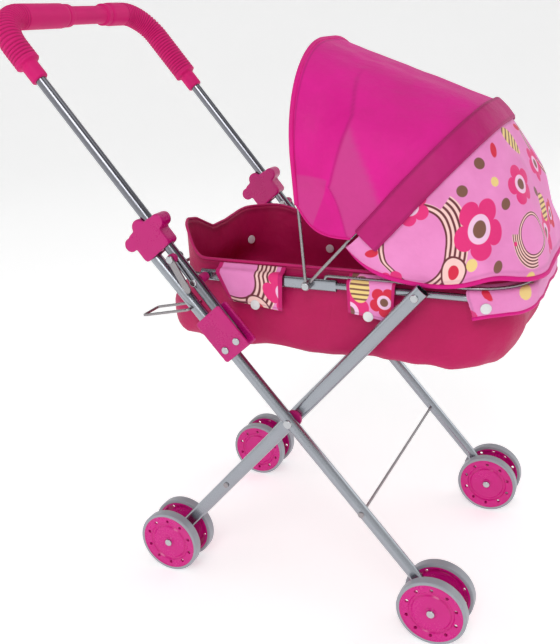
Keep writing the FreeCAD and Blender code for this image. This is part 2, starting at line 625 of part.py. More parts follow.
def hood_base_wire():
    """Wire stood in the rails' tops that carries the hood's lower edge round the head end."""
    tip = HEAD_END_X + RAIL_GROW
    level_x = BASE_WIRE_X + 3 * BASE_WIRE_BEND
    points = [V(BASE_WIRE_X, -RAIL_Y, RAIL_Z), V(BASE_WIRE_X, -RAIL_Y, BASE_WIRE_Z),
              V(level_x, -RAIL_Y, BASE_WIRE_Z)]
    right = bent_path(points, BASE_WIRE_BEND)
    round_head = [V(level_x, -RAIL_Y, BASE_WIRE_Z), V(tip, -RAIL_Y, BASE_WIRE_Z),
                  V(tip, RAIL_Y, BASE_WIRE_Z), V(level_x, RAIL_Y, BASE_WIRE_Z)]
    left = bent_path([at_y(p, RAIL_Y) for p in reversed(points)], BASE_WIRE_BEND)
    return sweep(right + bent_path(round_head, TUB_CORNER_R + RAIL_GROW) + left, BOW_WIRE_D / 2)


def rail_pivot():
    """Rivet that joins the rear leg's top to the rail."""
    return rivet(RAIL_PIVOT, RIVET_D / 2, -REAR_TUBE_OUT, -PIVOT_TAIL, RIVET_HEAD_D, RIVET_TAIL_D)


def rail_washer():
    """Plastic washer between the rear leg and the rail."""
    return ring_y(RAIL_PIVOT, SPACER_D / 2, RIVET_D / 2 + FIT, -REAR_TUBE_IN, -RIM_OUT - SIDE_GAP)


def hood_rivet():
    """Rivet on the rail that both hood bows turn on."""
    outer = FRONT_BOW_Y + BOW_WIRE_D / 2 + SIDE_GAP
    return rivet(HOOD_PIVOT, RIVET_D / 2, -outer, -RAIL_IN, RIVET_HEAD_D, RIVET_TAIL_D)


# ---- tub and its trim ----
def round_rect(x_from, x_to, half, radius, z):
    """Closed wire: a rectangle in plan with four equal round corners."""
    d = radius * math.sqrt(0.5)
    edges = []
    corners = ((x_to, half, 1, 1), (x_from, half, -1, 1), (x_from, -half, -1, -1), (x_to, -half, 1, -1))
    ends = []
    for x, y, sx, sy in corners:
        centre = V(x - sx * radius, y - sy * radius, z)
        across = centre + V(sx * radius, 0, 0)
        along = centre + V(0, sy * radius, 0)
        first, second = (across, along) if sx == sy else (along, across)
        ends.append((first, centre + V(sx * d, sy * d, 0), second))
    for i, (first, middle, second) in enumerate(ends):
        edges.append(Part.Arc(first, middle, second).toShape())
        edges.append(Part.LineSegment(second, ends[(i + 1) % 4][0]).toShape())
    return Part.Wire(edges)


def tub_body(inset, floor_z):
    """The tub's outline as a block, shrunk by an inset."""
    low = round_rect(FOOT_END_X + TUB_TAPER + inset, HEAD_END_X - TUB_TAPER - inset,
                     TUB_HALF - inset, TUB_CORNER_R - inset, floor_z)
    high = round_rect(FOOT_END_X + inset, HEAD_END_X - inset, TUB_HALF - inset,
                      TUB_CORNER_R - inset, TUB_RIM_Z)
    return Part.makeLoft([low, high], True, True)


def tub():
    """Fabric tub as an open box with rounded corners, hung inside the rails."""
    hollow = tub_body(TUB_WALL, TUB_FLOOR_Z + TUB_WALL)
    lid = round_rect(FOOT_END_X + TUB_WALL, HEAD_END_X - TUB_WALL, TUB_HALF - TUB_WALL,
                     TUB_CORNER_R - TUB_WALL, TUB_RIM_Z)
    hollow = hollow.fuse(Part.Face(lid).extrude(UP))
    return tub_body(0, TUB_FLOOR_Z).cut(hollow)


def base_board():
    """Stiff board that lies on the tub's floor."""
    inset = TUB_WALL + 1.0
    outline = round_rect(FOOT_END_X + TUB_TAPER + inset, HEAD_END_X - TUB_TAPER - inset,
                         TUB_HALF - inset, TUB_CORNER_R - inset, TUB_FLOOR_Z + TUB_WALL)
    return Part.Face(outline).extrude(UP * BOARD_T)


def box(x_from, x_to, y_from, y_to, z_from, z_to):
    """A plain block between two corners."""
    return Part.makeBox(x_to - x_from, y_to - y_from, z_to - z_from, V(x_from, y_from, z_from))


def side_flap(back_from, back_to):
    """Printed flap over a side rail: across its top, and down its outside to a snap."""
    x_from = FRONT_AXLE_X - back_from
    x_to = FRONT_AXLE_X - back_to
    drop = box(x_from, x_to, -CLOTH_OUT, -CLOTH_IN, RAIL_Z - FLAP_BOTTOM, CLOTH_TOP)
    top = box(x_from, x_to, -CLOTH_OUT, -TUB_HALF, CLOTH_TOP - FLAP_T, CLOTH_TOP)
    return drop.fuse(top).removeSplitter()


def ring_band(inner, outer, z_from, z_to):
    """Flat-sided ring between two insets of the head end's outline, open towards the foot."""
    start = FRONT_AXLE_X + APRON_AHEAD
    wires = [round_rect(start - 100, HEAD_END_X + grow, TUB_HALF + grow, TUB_CORNER_R + grow, z_from)
             for grow in (inner, outer)]
    ring = Part.Face(wires[1]).cut(Part.Face(wires[0])).extrude(UP * (z_to - z_from))
    return ring.common(box(start, HEAD_END_X + 50, -200, 200, z_from - 1, z_to + 1))


def head_apron():
    """Printed apron that hangs over the head rail, all round the head end."""
    grow_in = CLOTH_IN - TUB_HALF
    grow_out = CLOTH_OUT - TUB_HALF
    top = CLOTH_TOP
    drop = ring_band(grow_in, grow_out, RAIL_Z - APRON_BOTTOM, top)
    cover = ring_band(0.0, grow_out, top - FLAP_T, top)
    return drop.fuse(cover).removeSplitter()


def snaps():
    """Snap caps on the flaps and the apron, and their backs inside the tub."""
    caps = []
    for back_from, back_to in FLAPS_BACK:
        x = FRONT_AXLE_X - (back_from + back_to) / 2
        spot = V(x, 0, RAIL_Z - SNAP_BELOW)
        caps += both(cylinder_y(spot, SNAP_D / 2, -CLOTH_OUT - SNAP_T, -CLOTH_OUT))
        back = -TUB_HALF + TUB_WALL
        caps += both(cylinder_y(spot, SNAP_D / 2, back, back + SNAP_BACK_T))
    a = math.radians(APRON_SNAP_TURN)
    way = V(math.sin(a), -math.cos(a), 0)
    corner = V(HEAD_END_X - TUB_CORNER_R, TUB_CORNER_R - TUB_HALF, RAIL_Z - APRON_SNAP_BELOW)
    foot = corner + way * (TUB_CORNER_R + CLOTH_OUT - TUB_HALF)
    caps += both(Part.makeCylinder(SNAP_D / 2, SNAP_T, foot, way))
    return caps


# ---- hood ----
def on_hood(angle, rho, y):
    """A point in the plane of a hood bow: an angle above the rail, and a distance from its pivot."""
    a = math.radians(angle)
    return HOOD_PIVOT + V(math.cos(a) * rho, y, math.sin(a) * rho)


def arch_edges(angle, half, rho, bottom, bend):
    """Two straight legs and two bends of an arch, right leg first."""
    return bent_path([on_hood(angle, bottom, -half), on_hood(angle, rho, -half),
                      on_hood(angle, rho, half), on_hood(angle, bottom, half)], bend)


def hood_bow(angle, y, rho):
    """Wire bow with a flattened eye on each end."""
    wire = sweep(arch_edges(angle, y, rho, BOW_EYE_D / 2 - 0.6, BOW_BEND_R), BOW_WIRE_D / 2)
    for sign in (-1, 1):
        low = sign * y - BOW_EYE_T / 2
        wire = wire.fuse(cylinder_y(HOOD_PIVOT, BOW_EYE_D / 2, low, low + BOW_EYE_T))
    hole = cylinder_y(HOOD_PIVOT, RIVET_D / 2 + RUN, -y - 5, y + 5)
    return wire.removeSplitter().cut(hole)


def skin_section(angle, rho, bottom, half, bend=BOW_BEND_R):
    """Closed wire round the thickness of an arched skin in one plane."""
    inner = arch_edges(angle, half, rho, bottom, bend)
    outer = arch_edges(angle, half + HOOD_SKIN, rho + HOOD_SKIN, bottom, bend + HOOD_SKIN)
    joins = [Part.LineSegment(on_hood(angle, bottom, sign * half),
                              on_hood(angle, bottom, sign * (half + HOOD_SKIN))).toShape()
             for sign in (1, -1)]
    return Part.Wire(Part.__sortEdges__(inner + joins + outer))


def skin(sections):
    """A taut skin through its sections, each (angle, rho, bottom, half width, bend)."""
    return Part.makeLoft([skin_section(*section) for section in sections], True, True)


def hood_visor():
    """Front skin, between the front bow and the band."""
    rho = FRONT_BOW_R + SKIN_ADD
    return skin([(FRONT_BOW_ANGLE + HEM_DEGREES, rho, VISOR_BOTTOM, SKIN_HALF),
                 (FRONT_BOW_ANGLE - HEM_DEGREES / 2, rho, VISOR_BOTTOM, SKIN_HALF),
                 (MID_BOW_ANGLE + SEAM_DEGREES, MID_BOW_R + SKIN_ADD, VISOR_BOTTOM, SKIN_HALF)])


def hood_band():
    """Band over the middle bow."""
    return skin([(MID_BOW_ANGLE, MID_BOW_R + SKIN_ADD, VISOR_BOTTOM, SKIN_HALF),
                 (MID_BOW_ANGLE - BAND_DEGREES, MID_BOW_R + SKIN_ADD - SKIN_DROP, VISOR_BOTTOM,
                  SKIN_HALF)])


def hood_canopy():
    """Printed rear skin, from the band down to the hood's lower edge."""
    top = MID_BOW_ANGLE - BAND_DEGREES - SEAM_DEGREES
    middle = (top + CANOPY_LOW_ANGLE) / 2
    return skin([(top, MID_BOW_R + SKIN_ADD - SKIN_DROP, CANOPY_BOTTOM, SKIN_HALF),
                 (middle, CANOPY_BULGE_R, CANOPY_BOTTOM, (SKIN_HALF + CANOPY_LOW_HALF) / 2,
                  (BOW_BEND_R + CANOPY_LOW_BEND_R) / 2),
                 (CANOPY_LOW_ANGLE, CANOPY_END_R, CANOPY_BOTTOM, CANOPY_LOW_HALF,
                  CANOPY_LOW_BEND_R)])


def build():
    """Make every node."""
    add_pair("front_leg", front_leg())
    add_pair("rear_leg", rear_leg())
    add("front_cross_wire", cross_wire(on_leg(CROSS_WIRE_ALONG), FRONT_TUBE_OUT))
    add("rear_cross_wire", cross_wire(REAR_WIRE, REAR_TUBE_OUT))
    add_pair("front_axle", axle(FRONT_AXLE, FRONT_LEG_Y))
    add_pair("rear_axle", axle(REAR_AXLE, REAR_LEG_Y))
    wheels()
    add_pair("hinge_block", hinge_block())
    add("frame_rivets", frame_rivets())
    add("cross_spacers", both(cross_spacer()))
    add("handle_tube", handle_tube())
    grips()
    add_pair("slide_collar", collar())
    add_pair("catch_lever", catch_lever())
    add("handle_rivets", both(catch_rivet()) + both(rail_rivet()))
    add("handle_spacers", both(catch_spacer()) + both(rail_spacer()))
    add_pair("latch_bail", latch_bail())
    add_pair("side_rail", side_rail())
    add("head_rail", head_rail())
    add("rail_pivots", both(rail_pivot()))
    add("rail_washers", both(rail_washer()))
    add("hood_rivets", both(hood_rivet()))
    add("foot_wire", foot_wire())
    add("hood_base_wire", hood_base_wire())
    add("tub", tub())
    add("base_board", base_board())
    add("side_flaps", [s for flap in FLAPS_BACK for s in both(side_flap(*flap))])
    add("head_apron", head_apron())
    add("snaps", snaps())
    add("hood_bow_front", hood_bow(FRONT_BOW_ANGLE, FRONT_BOW_Y, FRONT_BOW_R))
    add("hood_bow_middle", hood_bow(MID_BOW_ANGLE, MID_BOW_Y, MID_BOW_R))
    add("hood_visor", hood_visor())
    add("hood_band", hood_band())
    add("hood_canopy", hood_canopy())


def export():
    """Write one STEP file per node."""
    os.makedirs("parts", exist_ok=True)
    for name, shape in PARTS.items():
        shape.exportStep("parts/" + name + ".step")
        box = shape.BoundBox
        print("%-26s solids %d valid %s x %.1f..%.1f y %.1f..%.1f z %.1f..%.1f" % (
            name, len(shape.Solids), shape.isValid(), box.XMin, box.XMax, box.YMin, box.YMax,
            box.ZMin, box.ZMax))


build()
export()
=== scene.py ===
"""Doll stroller: cloth, foam, plastic and metal finishes built around the fixed frame.

Everything is in metres, +X forward, +Y to the stroller's left, +Z up.
"""
import json
import logging
import math
from dataclasses import dataclass, field
from enum import Enum
from typing import Optional, Sequence, Union

import bmesh
import bpy
import numpy as np
from mathutils import Matrix, Vector, noise


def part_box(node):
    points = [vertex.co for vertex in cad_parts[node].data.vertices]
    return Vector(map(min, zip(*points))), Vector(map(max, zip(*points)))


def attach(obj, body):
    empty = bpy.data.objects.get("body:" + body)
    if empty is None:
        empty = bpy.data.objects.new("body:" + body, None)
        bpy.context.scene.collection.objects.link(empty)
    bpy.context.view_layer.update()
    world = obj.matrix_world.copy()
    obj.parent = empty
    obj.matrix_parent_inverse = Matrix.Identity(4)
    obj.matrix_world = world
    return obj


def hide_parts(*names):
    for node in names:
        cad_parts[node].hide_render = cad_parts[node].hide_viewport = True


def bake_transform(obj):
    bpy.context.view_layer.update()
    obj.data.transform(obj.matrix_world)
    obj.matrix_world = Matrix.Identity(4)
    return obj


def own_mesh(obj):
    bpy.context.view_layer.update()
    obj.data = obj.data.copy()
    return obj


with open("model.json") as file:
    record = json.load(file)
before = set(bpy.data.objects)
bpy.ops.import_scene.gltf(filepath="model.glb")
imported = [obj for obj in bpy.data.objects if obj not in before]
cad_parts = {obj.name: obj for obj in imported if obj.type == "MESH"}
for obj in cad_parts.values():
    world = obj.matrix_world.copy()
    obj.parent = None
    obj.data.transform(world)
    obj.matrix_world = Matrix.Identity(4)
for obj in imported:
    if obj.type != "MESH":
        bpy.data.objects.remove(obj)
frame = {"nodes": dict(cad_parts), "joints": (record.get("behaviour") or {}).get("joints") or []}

LOG = logging.getLogger("stroller")
MM = 0.001
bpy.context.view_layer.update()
Colour = tuple[float, float, float]
Number = Union[float, "Val"]


def rgba(colour: Colour) -> tuple[float, float, float, float]:
    """The colour with full opacity."""
    return (*colour, 1.0)


# ---------------------------------------------------------------- shader graph
class Val:
    """A shader value that takes part in Python arithmetic."""

    def __init__(self, graph: "Graph", socket: bpy.types.NodeSocket) -> None:
        self.graph = graph
        self.socket = socket

    def __add__(self, other: Number) -> "Val":
        return self.graph.math("ADD", self, other)

    __radd__ = __add__

    def __sub__(self, other: Number) -> "Val":
        return self.graph.math("SUBTRACT", self, other)

    def __rsub__(self, other: Number) -> "Val":
        return self.graph.math("SUBTRACT", other, self)

    def __mul__(self, other: Number) -> "Val":
        return self.graph.math("MULTIPLY", self, other)

    __rmul__ = __mul__

    def __pow__(self, other: Number) -> "Val":
        return self.graph.math("POWER", self, other)

    def sine(self) -> "Val":
        """Sine, in radians."""
        return self.graph.math("SINE", self)

    def magnitude(self) -> "Val":
        """Absolute value."""
        return self.graph.math("ABSOLUTE", self)

    def over(self, edge: Number, soft: float) -> "Val":
        """1 where the value is above an edge, 0 below, blurred over a width.

        Args:
            edge: Where the change happens.
            soft: Width of the change.

        Returns:
            The mask.
        """
        return self.graph.math("ADD", (self - edge) * (1.0 / soft), 0.5, clamp=True)

    def within(self, edge: Number, soft: float = 0.5) -> "Val":
        """1 where the value is below an edge, 0 above, blurred over a width."""
        return 1.0 - self.over(edge, soft)


class Graph:
    """One material, built node by node."""

    def __init__(self, name: str) -> None:
        self.material = bpy.data.materials.new(name)
        self.material.use_nodes = True
        self.tree = self.material.node_tree
        self.tree.nodes.clear()
        self.shader = self.node("ShaderNodeBsdfPrincipled")
        self.node("ShaderNodeOutputMaterial", inputs={"Surface": self.shader.outputs[0]})

    def node(self, kind: str, settings: Optional[dict] = None,
             inputs: Optional[dict] = None) -> bpy.types.Node:
        """Make a node.

        Args:
            kind: The node's type name.
            settings: Its settings; "stops" fills a colour ramp with (place, colour) pairs.
            inputs: Values or links by socket name or number.

        Returns:
            The node.
        """
        made = self.tree.nodes.new(kind)
        for key, value in (settings or {}).items():
            if key == "stops":
                ramp = made.color_ramp
                while len(ramp.elements) < len(value):
                    ramp.elements.new(1.0)
                for element, (place, colour) in zip(ramp.elements, value):
                    element.position = place
                    element.color = rgba(colour)
            else:
                setattr(made, key, value)
        for key, value in (inputs or {}).items():
            source = value.socket if isinstance(value, Val) else value
            if isinstance(source, bpy.types.NodeSocket):
                self.tree.links.new(source, made.inputs[key])
            else:
                made.inputs[key].default_value = source
        return made

    def math(self, operation: str, a: Number, b: Number = 0.0, clamp: bool = False) -> Val:
        """A Math node on two values."""
        made = self.node("ShaderNodeMath", {"operation": operation, "use_clamp": clamp},
                         {0: a, 1: b})
        return Val(self, made.outputs[0])

    def vector(self, operation: str, a: object, b: object = (0.0, 0.0, 0.0),
               c: object = (0.0, 0.0, 0.0)) -> bpy.types.NodeSocket:
        """A Vector Math node on up to three vectors."""
        made = self.node("ShaderNodeVectorMath", {"operation": operation}, {0: a, 1: b, 2: c})
        return made.outputs[0]

    def length(self, a: object) -> Val:
        """A vector's length."""
        made = self.node("ShaderNodeVectorMath", {"operation": "LENGTH"}, {0: a})
        return Val(self, made.outputs["Value"])

    def mix(self, factor: Number, a: object, b: object) -> bpy.types.NodeSocket:
        """Blend two colours, each a Colour or a socket."""
        first = rgba(a) if isinstance(a, tuple) else a
        second = rgba(b) if isinstance(b, tuple) else b
        made = self.node("ShaderNodeMix", {"data_type": "RGBA"}, {0: factor, 6: first, 7: second})
        return made.outputs[2]

    def noise(self, coords: bpy.types.NodeSocket, scale: float, detail: float = 2.0) -> Val:
        """Noise from 0 to 1 over the given coordinates."""
        made = self.node("ShaderNodeTexNoise", None,
                         {"Vector": coords, "Scale": scale, "Detail": detail})
        return Val(self, made.outputs[0])

    def coords(self, which: str) -> bpy.types.NodeSocket:
        """Texture coordinates: UV holds cloth measured in metres, Object holds places."""
        return self.node("ShaderNodeTexCoord").outputs[which]

    def attribute(self, name: str) -> Val:
        """A number stored on the mesh."""
        made = self.node("ShaderNodeAttribute", {"attribute_name": name})
        return Val(self, made.outputs["Fac"])

    def set(self, **sockets: object) -> None:
        """Set or link the shader's sockets; underscores stand for spaces."""
        for key, value in sockets.items():
            socket = self.shader.inputs[key.replace("_", " ")]
            source = value.socket if isinstance(value, Val) else value
            if isinstance(source, bpy.types.NodeSocket):
                self.tree.links.new(source, socket)
            else:
                socket.default_value = rgba(source) if isinstance(source, tuple) else source

    def bump(self, height: Val, distance: float, strength: float = 1.0) -> None:
        """Relief from a height value, its full range being a distance in metres."""
        made = self.node("ShaderNodeBump", None,
                         {"Height": height, "Distance": distance, "Strength": strength})
        self.tree.links.new(made.outputs[0], self.shader.inputs["Normal"])


# ---------------------------------------------------------------- finishes
@dataclass(frozen=True)
class Metal:
    """Drawn tube, wire or rivet metal with fine handling marks."""

    name: str
    colour: Colour
    roughness: float
    marks: float

    def build(self) -> bpy.types.Material:
        """Make the material."""
        g = Graph(self.name)
        places = g.coords("Object")
        fine = g.noise(places, 900.0, 3.0)
        broad = g.noise(places, 45.0, 3.0)
        streaks = g.noise(g.vector("MULTIPLY", places, (1.0, 1.0, 0.25)), 300.0, 2.0)
        tone = 0.93 + broad * 0.09 + streaks * 0.05
        colour = g.node("ShaderNodeVectorMath", {"operation": "SCALE"},
                        {0: self.colour, "Scale": tone}).outputs[0]
        g.set(Base_Color=colour, Metallic=1.0,
              Roughness=self.roughness + (broad - 0.5) * self.marks + (fine - 0.5) * self.marks)
        g.bump(fine, 0.000004, 0.3)
        return g.material


@dataclass(frozen=True)
class Plastic:
    """Moulded plastic with a slight orange-peel skin and scuffed roughness."""

    name: str
    colour: Colour
    roughness: float
    coat: float = 0.0
    grain: float = 0.00003
    deep: Optional[Colour] = None

    def build(self) -> bpy.types.Material:
        """Make the material."""
        g = Graph(self.name)
        places = g.coords("Object")
        skin = g.noise(places, 700.0, 2.0)
        cloud = g.noise(places, 30.0, 2.0)
        deep = self.deep or tuple(c * 0.86 for c in self.colour)
        g.set(Base_Color=g.mix(cloud.over(0.5, 0.8), deep, self.colour),
              Roughness=self.roughness + (cloud - 0.5) * 0.10 + (skin - 0.5) * 0.06,
              Coat_Weight=self.coat, Coat_Roughness=0.08, Specular_IOR_Level=0.40)
        g.bump(skin, self.grain, 0.35)
        return g.material


@dataclass(frozen=True)
class Foam:
    """Soft closed-cell grip foam: matt, finely pitted, paler where it is handled."""

    name: str
    colour: Colour

    def build(self) -> bpy.types.Material:
        """Make the material."""
        g = Graph(self.name)
        places = g.coords("Object")
        pits = g.noise(places, 1500.0, 3.0)
        worn = g.noise(places, 60.0, 3.0)
        pale = tuple(min(1.0, c * 1.12 + 0.004) for c in self.colour)
        # Painted shade: the rib grooves are painted darker where shade falls in them.
        groove = g.attribute("groove")
        dark = tuple(c * 0.30 for c in self.colour)
        colour = g.mix(worn.over(0.55, 0.4) * 0.5, self.colour, pale)
        g.set(Base_Color=g.mix(groove * 0.5, colour, dark), Roughness=0.52 + (worn - 0.5) * 0.12,
              Specular_IOR_Level=0.18)
        g.bump(pits, 0.00002, 0.3)
        return g.material


class Motif(Enum):
    """The shapes in the printed cloth's repeat."""

    FLOWER = "flower"
    DOT = "dot"
    ARCS = "arcs"
    DISC = "disc"
    DROP = "drop"
    BARREL = "barrel"


HOT_PINK: Colour = (0.78, 0.030, 0.200)
BROWN: Colour = (0.215, 0.095, 0.065)
UMBER: Colour = (0.150, 0.030, 0.040)
CREAM: Colour = (0.930, 0.600, 0.560)
YELLOW: Colour = (0.870, 0.640, 0.240)
RED: Colour = (0.680, 0.022, 0.060)
PALE: Colour = (0.900, 0.560, 0.780)
BINDING: Colour = (0.560, 0.010, 0.150)


@dataclass(frozen=True)
class Print:
    """One motif of the repeat: centre and size in millimetres, turn in degrees."""

    motif: Motif
    at: tuple[float, float]
    size: float
    turn: float = 0.0
    colour: Colour = HOT_PINK


# Shares of a motif's size, unless a line says otherwise.
DISC_RING, DISC_CORE = 0.86, 0.42
ARC_START, ARC_RING_END, ARC_PITCH = 0.60, 0.73, 0.085
ARC_SPREAD = 0.95  # radians to each side
PETAL_VALLEY, FLOWER_FACE, FLOWER_CORE = 0.64, 0.46, 0.27
PETALS_HALF = 2.5  # half the number of petals
PETAL_ROUNDING = 0.55  # power that fills the petals out
DROP_SCALE, DROP_TAPER = (0.62, 1.25, 0.0), 0.18
BARREL_SCALE, BAR_PITCH = (0.8, 1.15, 0.0), 0.42

REPEAT_MM = (200.0, 124.0)
PRINTS = (
    Print(Motif.ARCS, (9.5, 92), 45, 39),
    Print(Motif.FLOWER, (60, 71), 21.5, 8),
    Print(Motif.DISC, (27, 58), 11.5),
    Print(Motif.FLOWER, (25, 117), 15, 30),
    Print(Motif.FLOWER, (113, 74), 16, 20),
    Print(Motif.FLOWER, (170, 36), 12.5, 50, RED),
    Print(Motif.FLOWER, (140, 26), 18, 12),
    Print(Motif.ARCS, (103, 36), 24, 160),
    Print(Motif.BARREL, (150, 46), 9.5, 90),
    Print(Motif.FLOWER, (172, 78), 15, 0),
    Print(Motif.DOT, (87, 108), 4.6, 0, BROWN),
    Print(Motif.DOT, (62, 101), 4.4, 0, BROWN),
    Print(Motif.DOT, (89, 71), 4.2, 0, BROWN),
    Print(Motif.DOT, (60, 40), 4.0, 0, BROWN),
    Print(Motif.DOT, (143, 60), 4.2, 0, BROWN),
    Print(Motif.DOT, (88, 90), 3.6, 0, YELLOW),
    Print(Motif.DOT, (42, 54), 4.4, 0, YELLOW),
    Print(Motif.DOT, (84, 10), 6.5, 0, YELLOW),
    Print(Motif.DOT, (82, 42), 1.7, 0, HOT_PINK),
    Print(Motif.DROP, (107, 110), 5.8, 130, RED),
    Print(Motif.DROP, (174, 112), 6.0, 20, RED),
    Print(Motif.DROP, (50, 14), 5.5, 60, RED),
    Print(Motif.BARREL, (138, 105), 11, 60),
    Print(Motif.DOT, (20, 18), 4.0, 0, BROWN),
)


@dataclass(frozen=True)
class Nylon:
    """Light woven nylon, plain or printed, with soft creases and a silky sheen."""

    name: str
    colour: Colour
    shade: Colour
    printed: bool = False
    weave_mm: float = 0.75
    crease: float = 0.0024
    # Colour painted where light shines through the single-layer cloth: painted backlight.
    thin: Optional[Colour] = None

    def _disc(self, g: Graph, reach: Val, size: float, under: object) -> bpy.types.NodeSocket:
        """A dark-rimmed disc with a red middle."""
        ring = g.mix(reach.within(size * DISC_RING), UMBER, CREAM)
        core = g.mix(reach.within(size * DISC_CORE), ring, RED)
        return g.mix(reach.within(size), under, core)

    def _arcs(self, g: Graph, reach: Val, angle: Val, size: float,
              under: object) -> bpy.types.NodeSocket:
        """A striped ring that widens into a fan of arcs on one side."""
        lines = (reach * (2 * math.pi / (size * ARC_PITCH))).sine().over(0.1, 0.8)
        outside = reach.over(size * ARC_START, 0.5)
        fan = outside * reach.within(size) * angle.magnitude().within(ARC_SPREAD, 0.02)
        shown = g.math("MAXIMUM", outside * reach.within(size * ARC_RING_END), fan)
        return g.mix(shown, under, g.mix(lines, CREAM, UMBER))

    def _flower(self, g: Graph, reach: Val, angle: Val, print_: Print,
                under: object) -> bpy.types.NodeSocket:
        """A five-petalled flower with a pale face and a dark core."""
        size = print_.size
        lobes = (angle * PETALS_HALF).sine().magnitude() ** PETAL_ROUNDING
        petals = lobes * ((1 - PETAL_VALLEY) * size) + PETAL_VALLEY * size
        face = g.mix(reach.within(size * FLOWER_FACE), print_.colour, PALE)
        core = g.mix(reach.within(size * FLOWER_CORE), face, BROWN)
        return g.mix(reach.within(petals, 0.6), under, core)

    def _stamp(self, g: Graph, cloth: bpy.types.NodeSocket, under: bpy.types.NodeSocket,
               print_: Print) -> bpy.types.NodeSocket:
        """Lay one motif of the repeat over a colour.

        Args:
            g: The material's graph.
            cloth: Cloth coordinates in millimetres.
            under: The colour below.
            print_: The motif.

        Returns:
            The colour with the motif on it.
        """
        half = (REPEAT_MM[0] / 2, REPEAT_MM[1] / 2, 1.0)
        offset = g.vector("SUBTRACT", cloth, (*print_.at, 0.0))
        local = g.vector("WRAP", offset, half, tuple(-h for h in half))
        if print_.turn:
            local = g.node("ShaderNodeVectorRotate", {"rotation_type": "Z_AXIS"},
                           {"Vector": local, "Angle": math.radians(print_.turn)}).outputs[0]
        parts = g.node("ShaderNodeSeparateXYZ", None, {0: local})
        x, y = Val(g, parts.outputs[0]), Val(g, parts.outputs[1])
        size = print_.size
        if print_.motif is Motif.DOT:
            return g.mix(g.length(local).within(size), under, print_.colour)
        if print_.motif is Motif.DROP:
            reach = g.length(g.vector("MULTIPLY", local, DROP_SCALE))
            edge = size * DROP_SCALE[0] + x * DROP_TAPER
            return g.mix(reach.within(edge, 0.6), under, print_.colour)
        if print_.motif is Motif.BARREL:
            body = g.length(g.vector("MULTIPLY", local, BARREL_SCALE)).within(size, 0.6)
            bars = (x * (2 * math.pi / (size * BAR_PITCH))).sine().over(0.35, 0.5)
            return g.mix(body, under, g.mix(bars, YELLOW, BROWN))
        reach = g.length(g.vector("MULTIPLY", local, (1.0, 1.0, 0.0)))
        if print_.motif is Motif.DISC:
            return self._disc(g, reach, size, under)
        angle = g.math("ARCTAN2", y, x)
        if print_.motif is Motif.ARCS:
            return self._arcs(g, reach, angle, size, under)
        return self._flower(g, reach, angle, print_, under)

    def build(self) -> bpy.types.Material:
        """Make the material."""
        g = Graph(self.name)
        cloth = g.coords("UV")
        places = g.coords("Object")
        broad = g.noise(places, 22.0, 3.0)
        soft = g.noise(places, 70.0, 2.0)
        colour = g.mix((broad * 0.7 + soft * 0.3).over(0.5, 0.55), self.shade, self.colour)
        # Painted backlight: lighter where light shines through the visor's single layer.
        if self.thin:
            colour = g.mix(g.attribute("thin") * 0.8, colour, self.thin)
        if self.printed:
            across = g.vector("MULTIPLY", cloth, (1000.0, 1000.0, 0.0))
            for print_ in PRINTS:
                colour = self._stamp(g, across, colour, print_)
            colour = g.mix(g.attribute("bind").over(0.5, 0.3), colour, BINDING)
        # Darker along stitched seams, and painted shade along the visor's crease.
        colour = g.mix(g.attribute("seam") * 0.45, colour, tuple(c * 0.4 for c in self.shade))
        split = g.node("ShaderNodeSeparateXYZ", None, {0: cloth})
        turns = 2 * math.pi / (self.weave_mm * MM)
        warp = (Val(g, split.outputs[0]) * turns).sine()
        weft = (Val(g, split.outputs[1]) * turns).sine()
        weave = warp * weft * 0.5 + 0.5
        g.set(Base_Color=colour, Roughness=0.50 + (soft - 0.5) * 0.16 + weave * 0.05,
              Sheen_Weight=0.10, Sheen_Roughness=0.35, Sheen_Tint=self.colour,
              Specular_IOR_Level=0.25)
        creases = g.noise(places, 55.0, 4.0)
        g.bump(creases + weave * (0.00006 / self.crease), self.crease, 0.7)
        return g.material


class Finish(Enum):
    """Every finish on the stroller."""

    SILVER = Metal("satin_tube", (0.350, 0.370, 0.405), 0.25, 0.10)
    CHROME = Metal("bright_handle", (0.225, 0.228, 0.255), 0.20, 0.06)
    WIRE = Metal("stay_wire", (0.330, 0.310, 0.320), 0.27, 0.10)
    RIVET = Metal("bright_rivet", (0.50, 0.51, 0.53), 0.22, 0.10)
    HUB = Plastic("hub_plastic", (0.650, 0.002, 0.250), 0.26, 0.10, 0.00001, (0.55, 0.003, 0.18))
    BLOCK = Plastic("block_plastic", (0.560, 0.003, 0.185), 0.28, 0.12, 0.00001,
                    (0.46, 0.002, 0.145))
    TYRE = Plastic("tyre_vinyl", (0.340, 0.360, 0.400), 0.36, 0.06, 0.00002)
    SPACER = Plastic("washer_plastic", (0.480, 0.006, 0.150), 0.45)
    SNAP = Plastic("snap_enamel", (0.800, 0.790, 0.800), 0.28, 0.30)
    GRIP = Foam("ribbed_foam", (0.620, 0.008, 0.155))
    TUB = Nylon("tub_nylon", (0.520, 0.007, 0.110), (0.430, 0.005, 0.080))
    TUB_HEM = Nylon("hem_nylon", (0.560, 0.014, 0.150), (0.450, 0.010, 0.110))
    # The hood's second colour is painted backlight, for light shining through the visor.
    HOOD = Nylon("hood_nylon", (0.760, 0.006, 0.300), (0.620, 0.004, 0.225),
                 thin=(0.58, 0.050, 0.26))
    # Darker than the hood nylon: partly a deeper magenta, partly painted shade for the band's
    # downward face.
    BAND = Nylon("band_nylon", (0.540, 0.010, 0.190), (0.400, 0.006, 0.120))
    PIPING = Nylon("piping_nylon", (0.740, 0.006, 0.260), (0.620, 0.004, 0.190))
    PRINT = Nylon("printed_nylon", (0.900, 0.300, 0.640), (0.740, 0.205, 0.480), printed=True,
                  crease=0.0030)

    def material(self) -> bpy.types.Material:
        """The finish's material, made once."""
        return bpy.data.materials.get(self.value.name) or self.value.build()


# ---------------------------------------------------------------- mesh helpers
def place(piece: bpy.types.Object) -> bpy.types.Object:
    """Put a new object in the scene."""
    bpy.context.collection.objects.link(piece)
    return piece


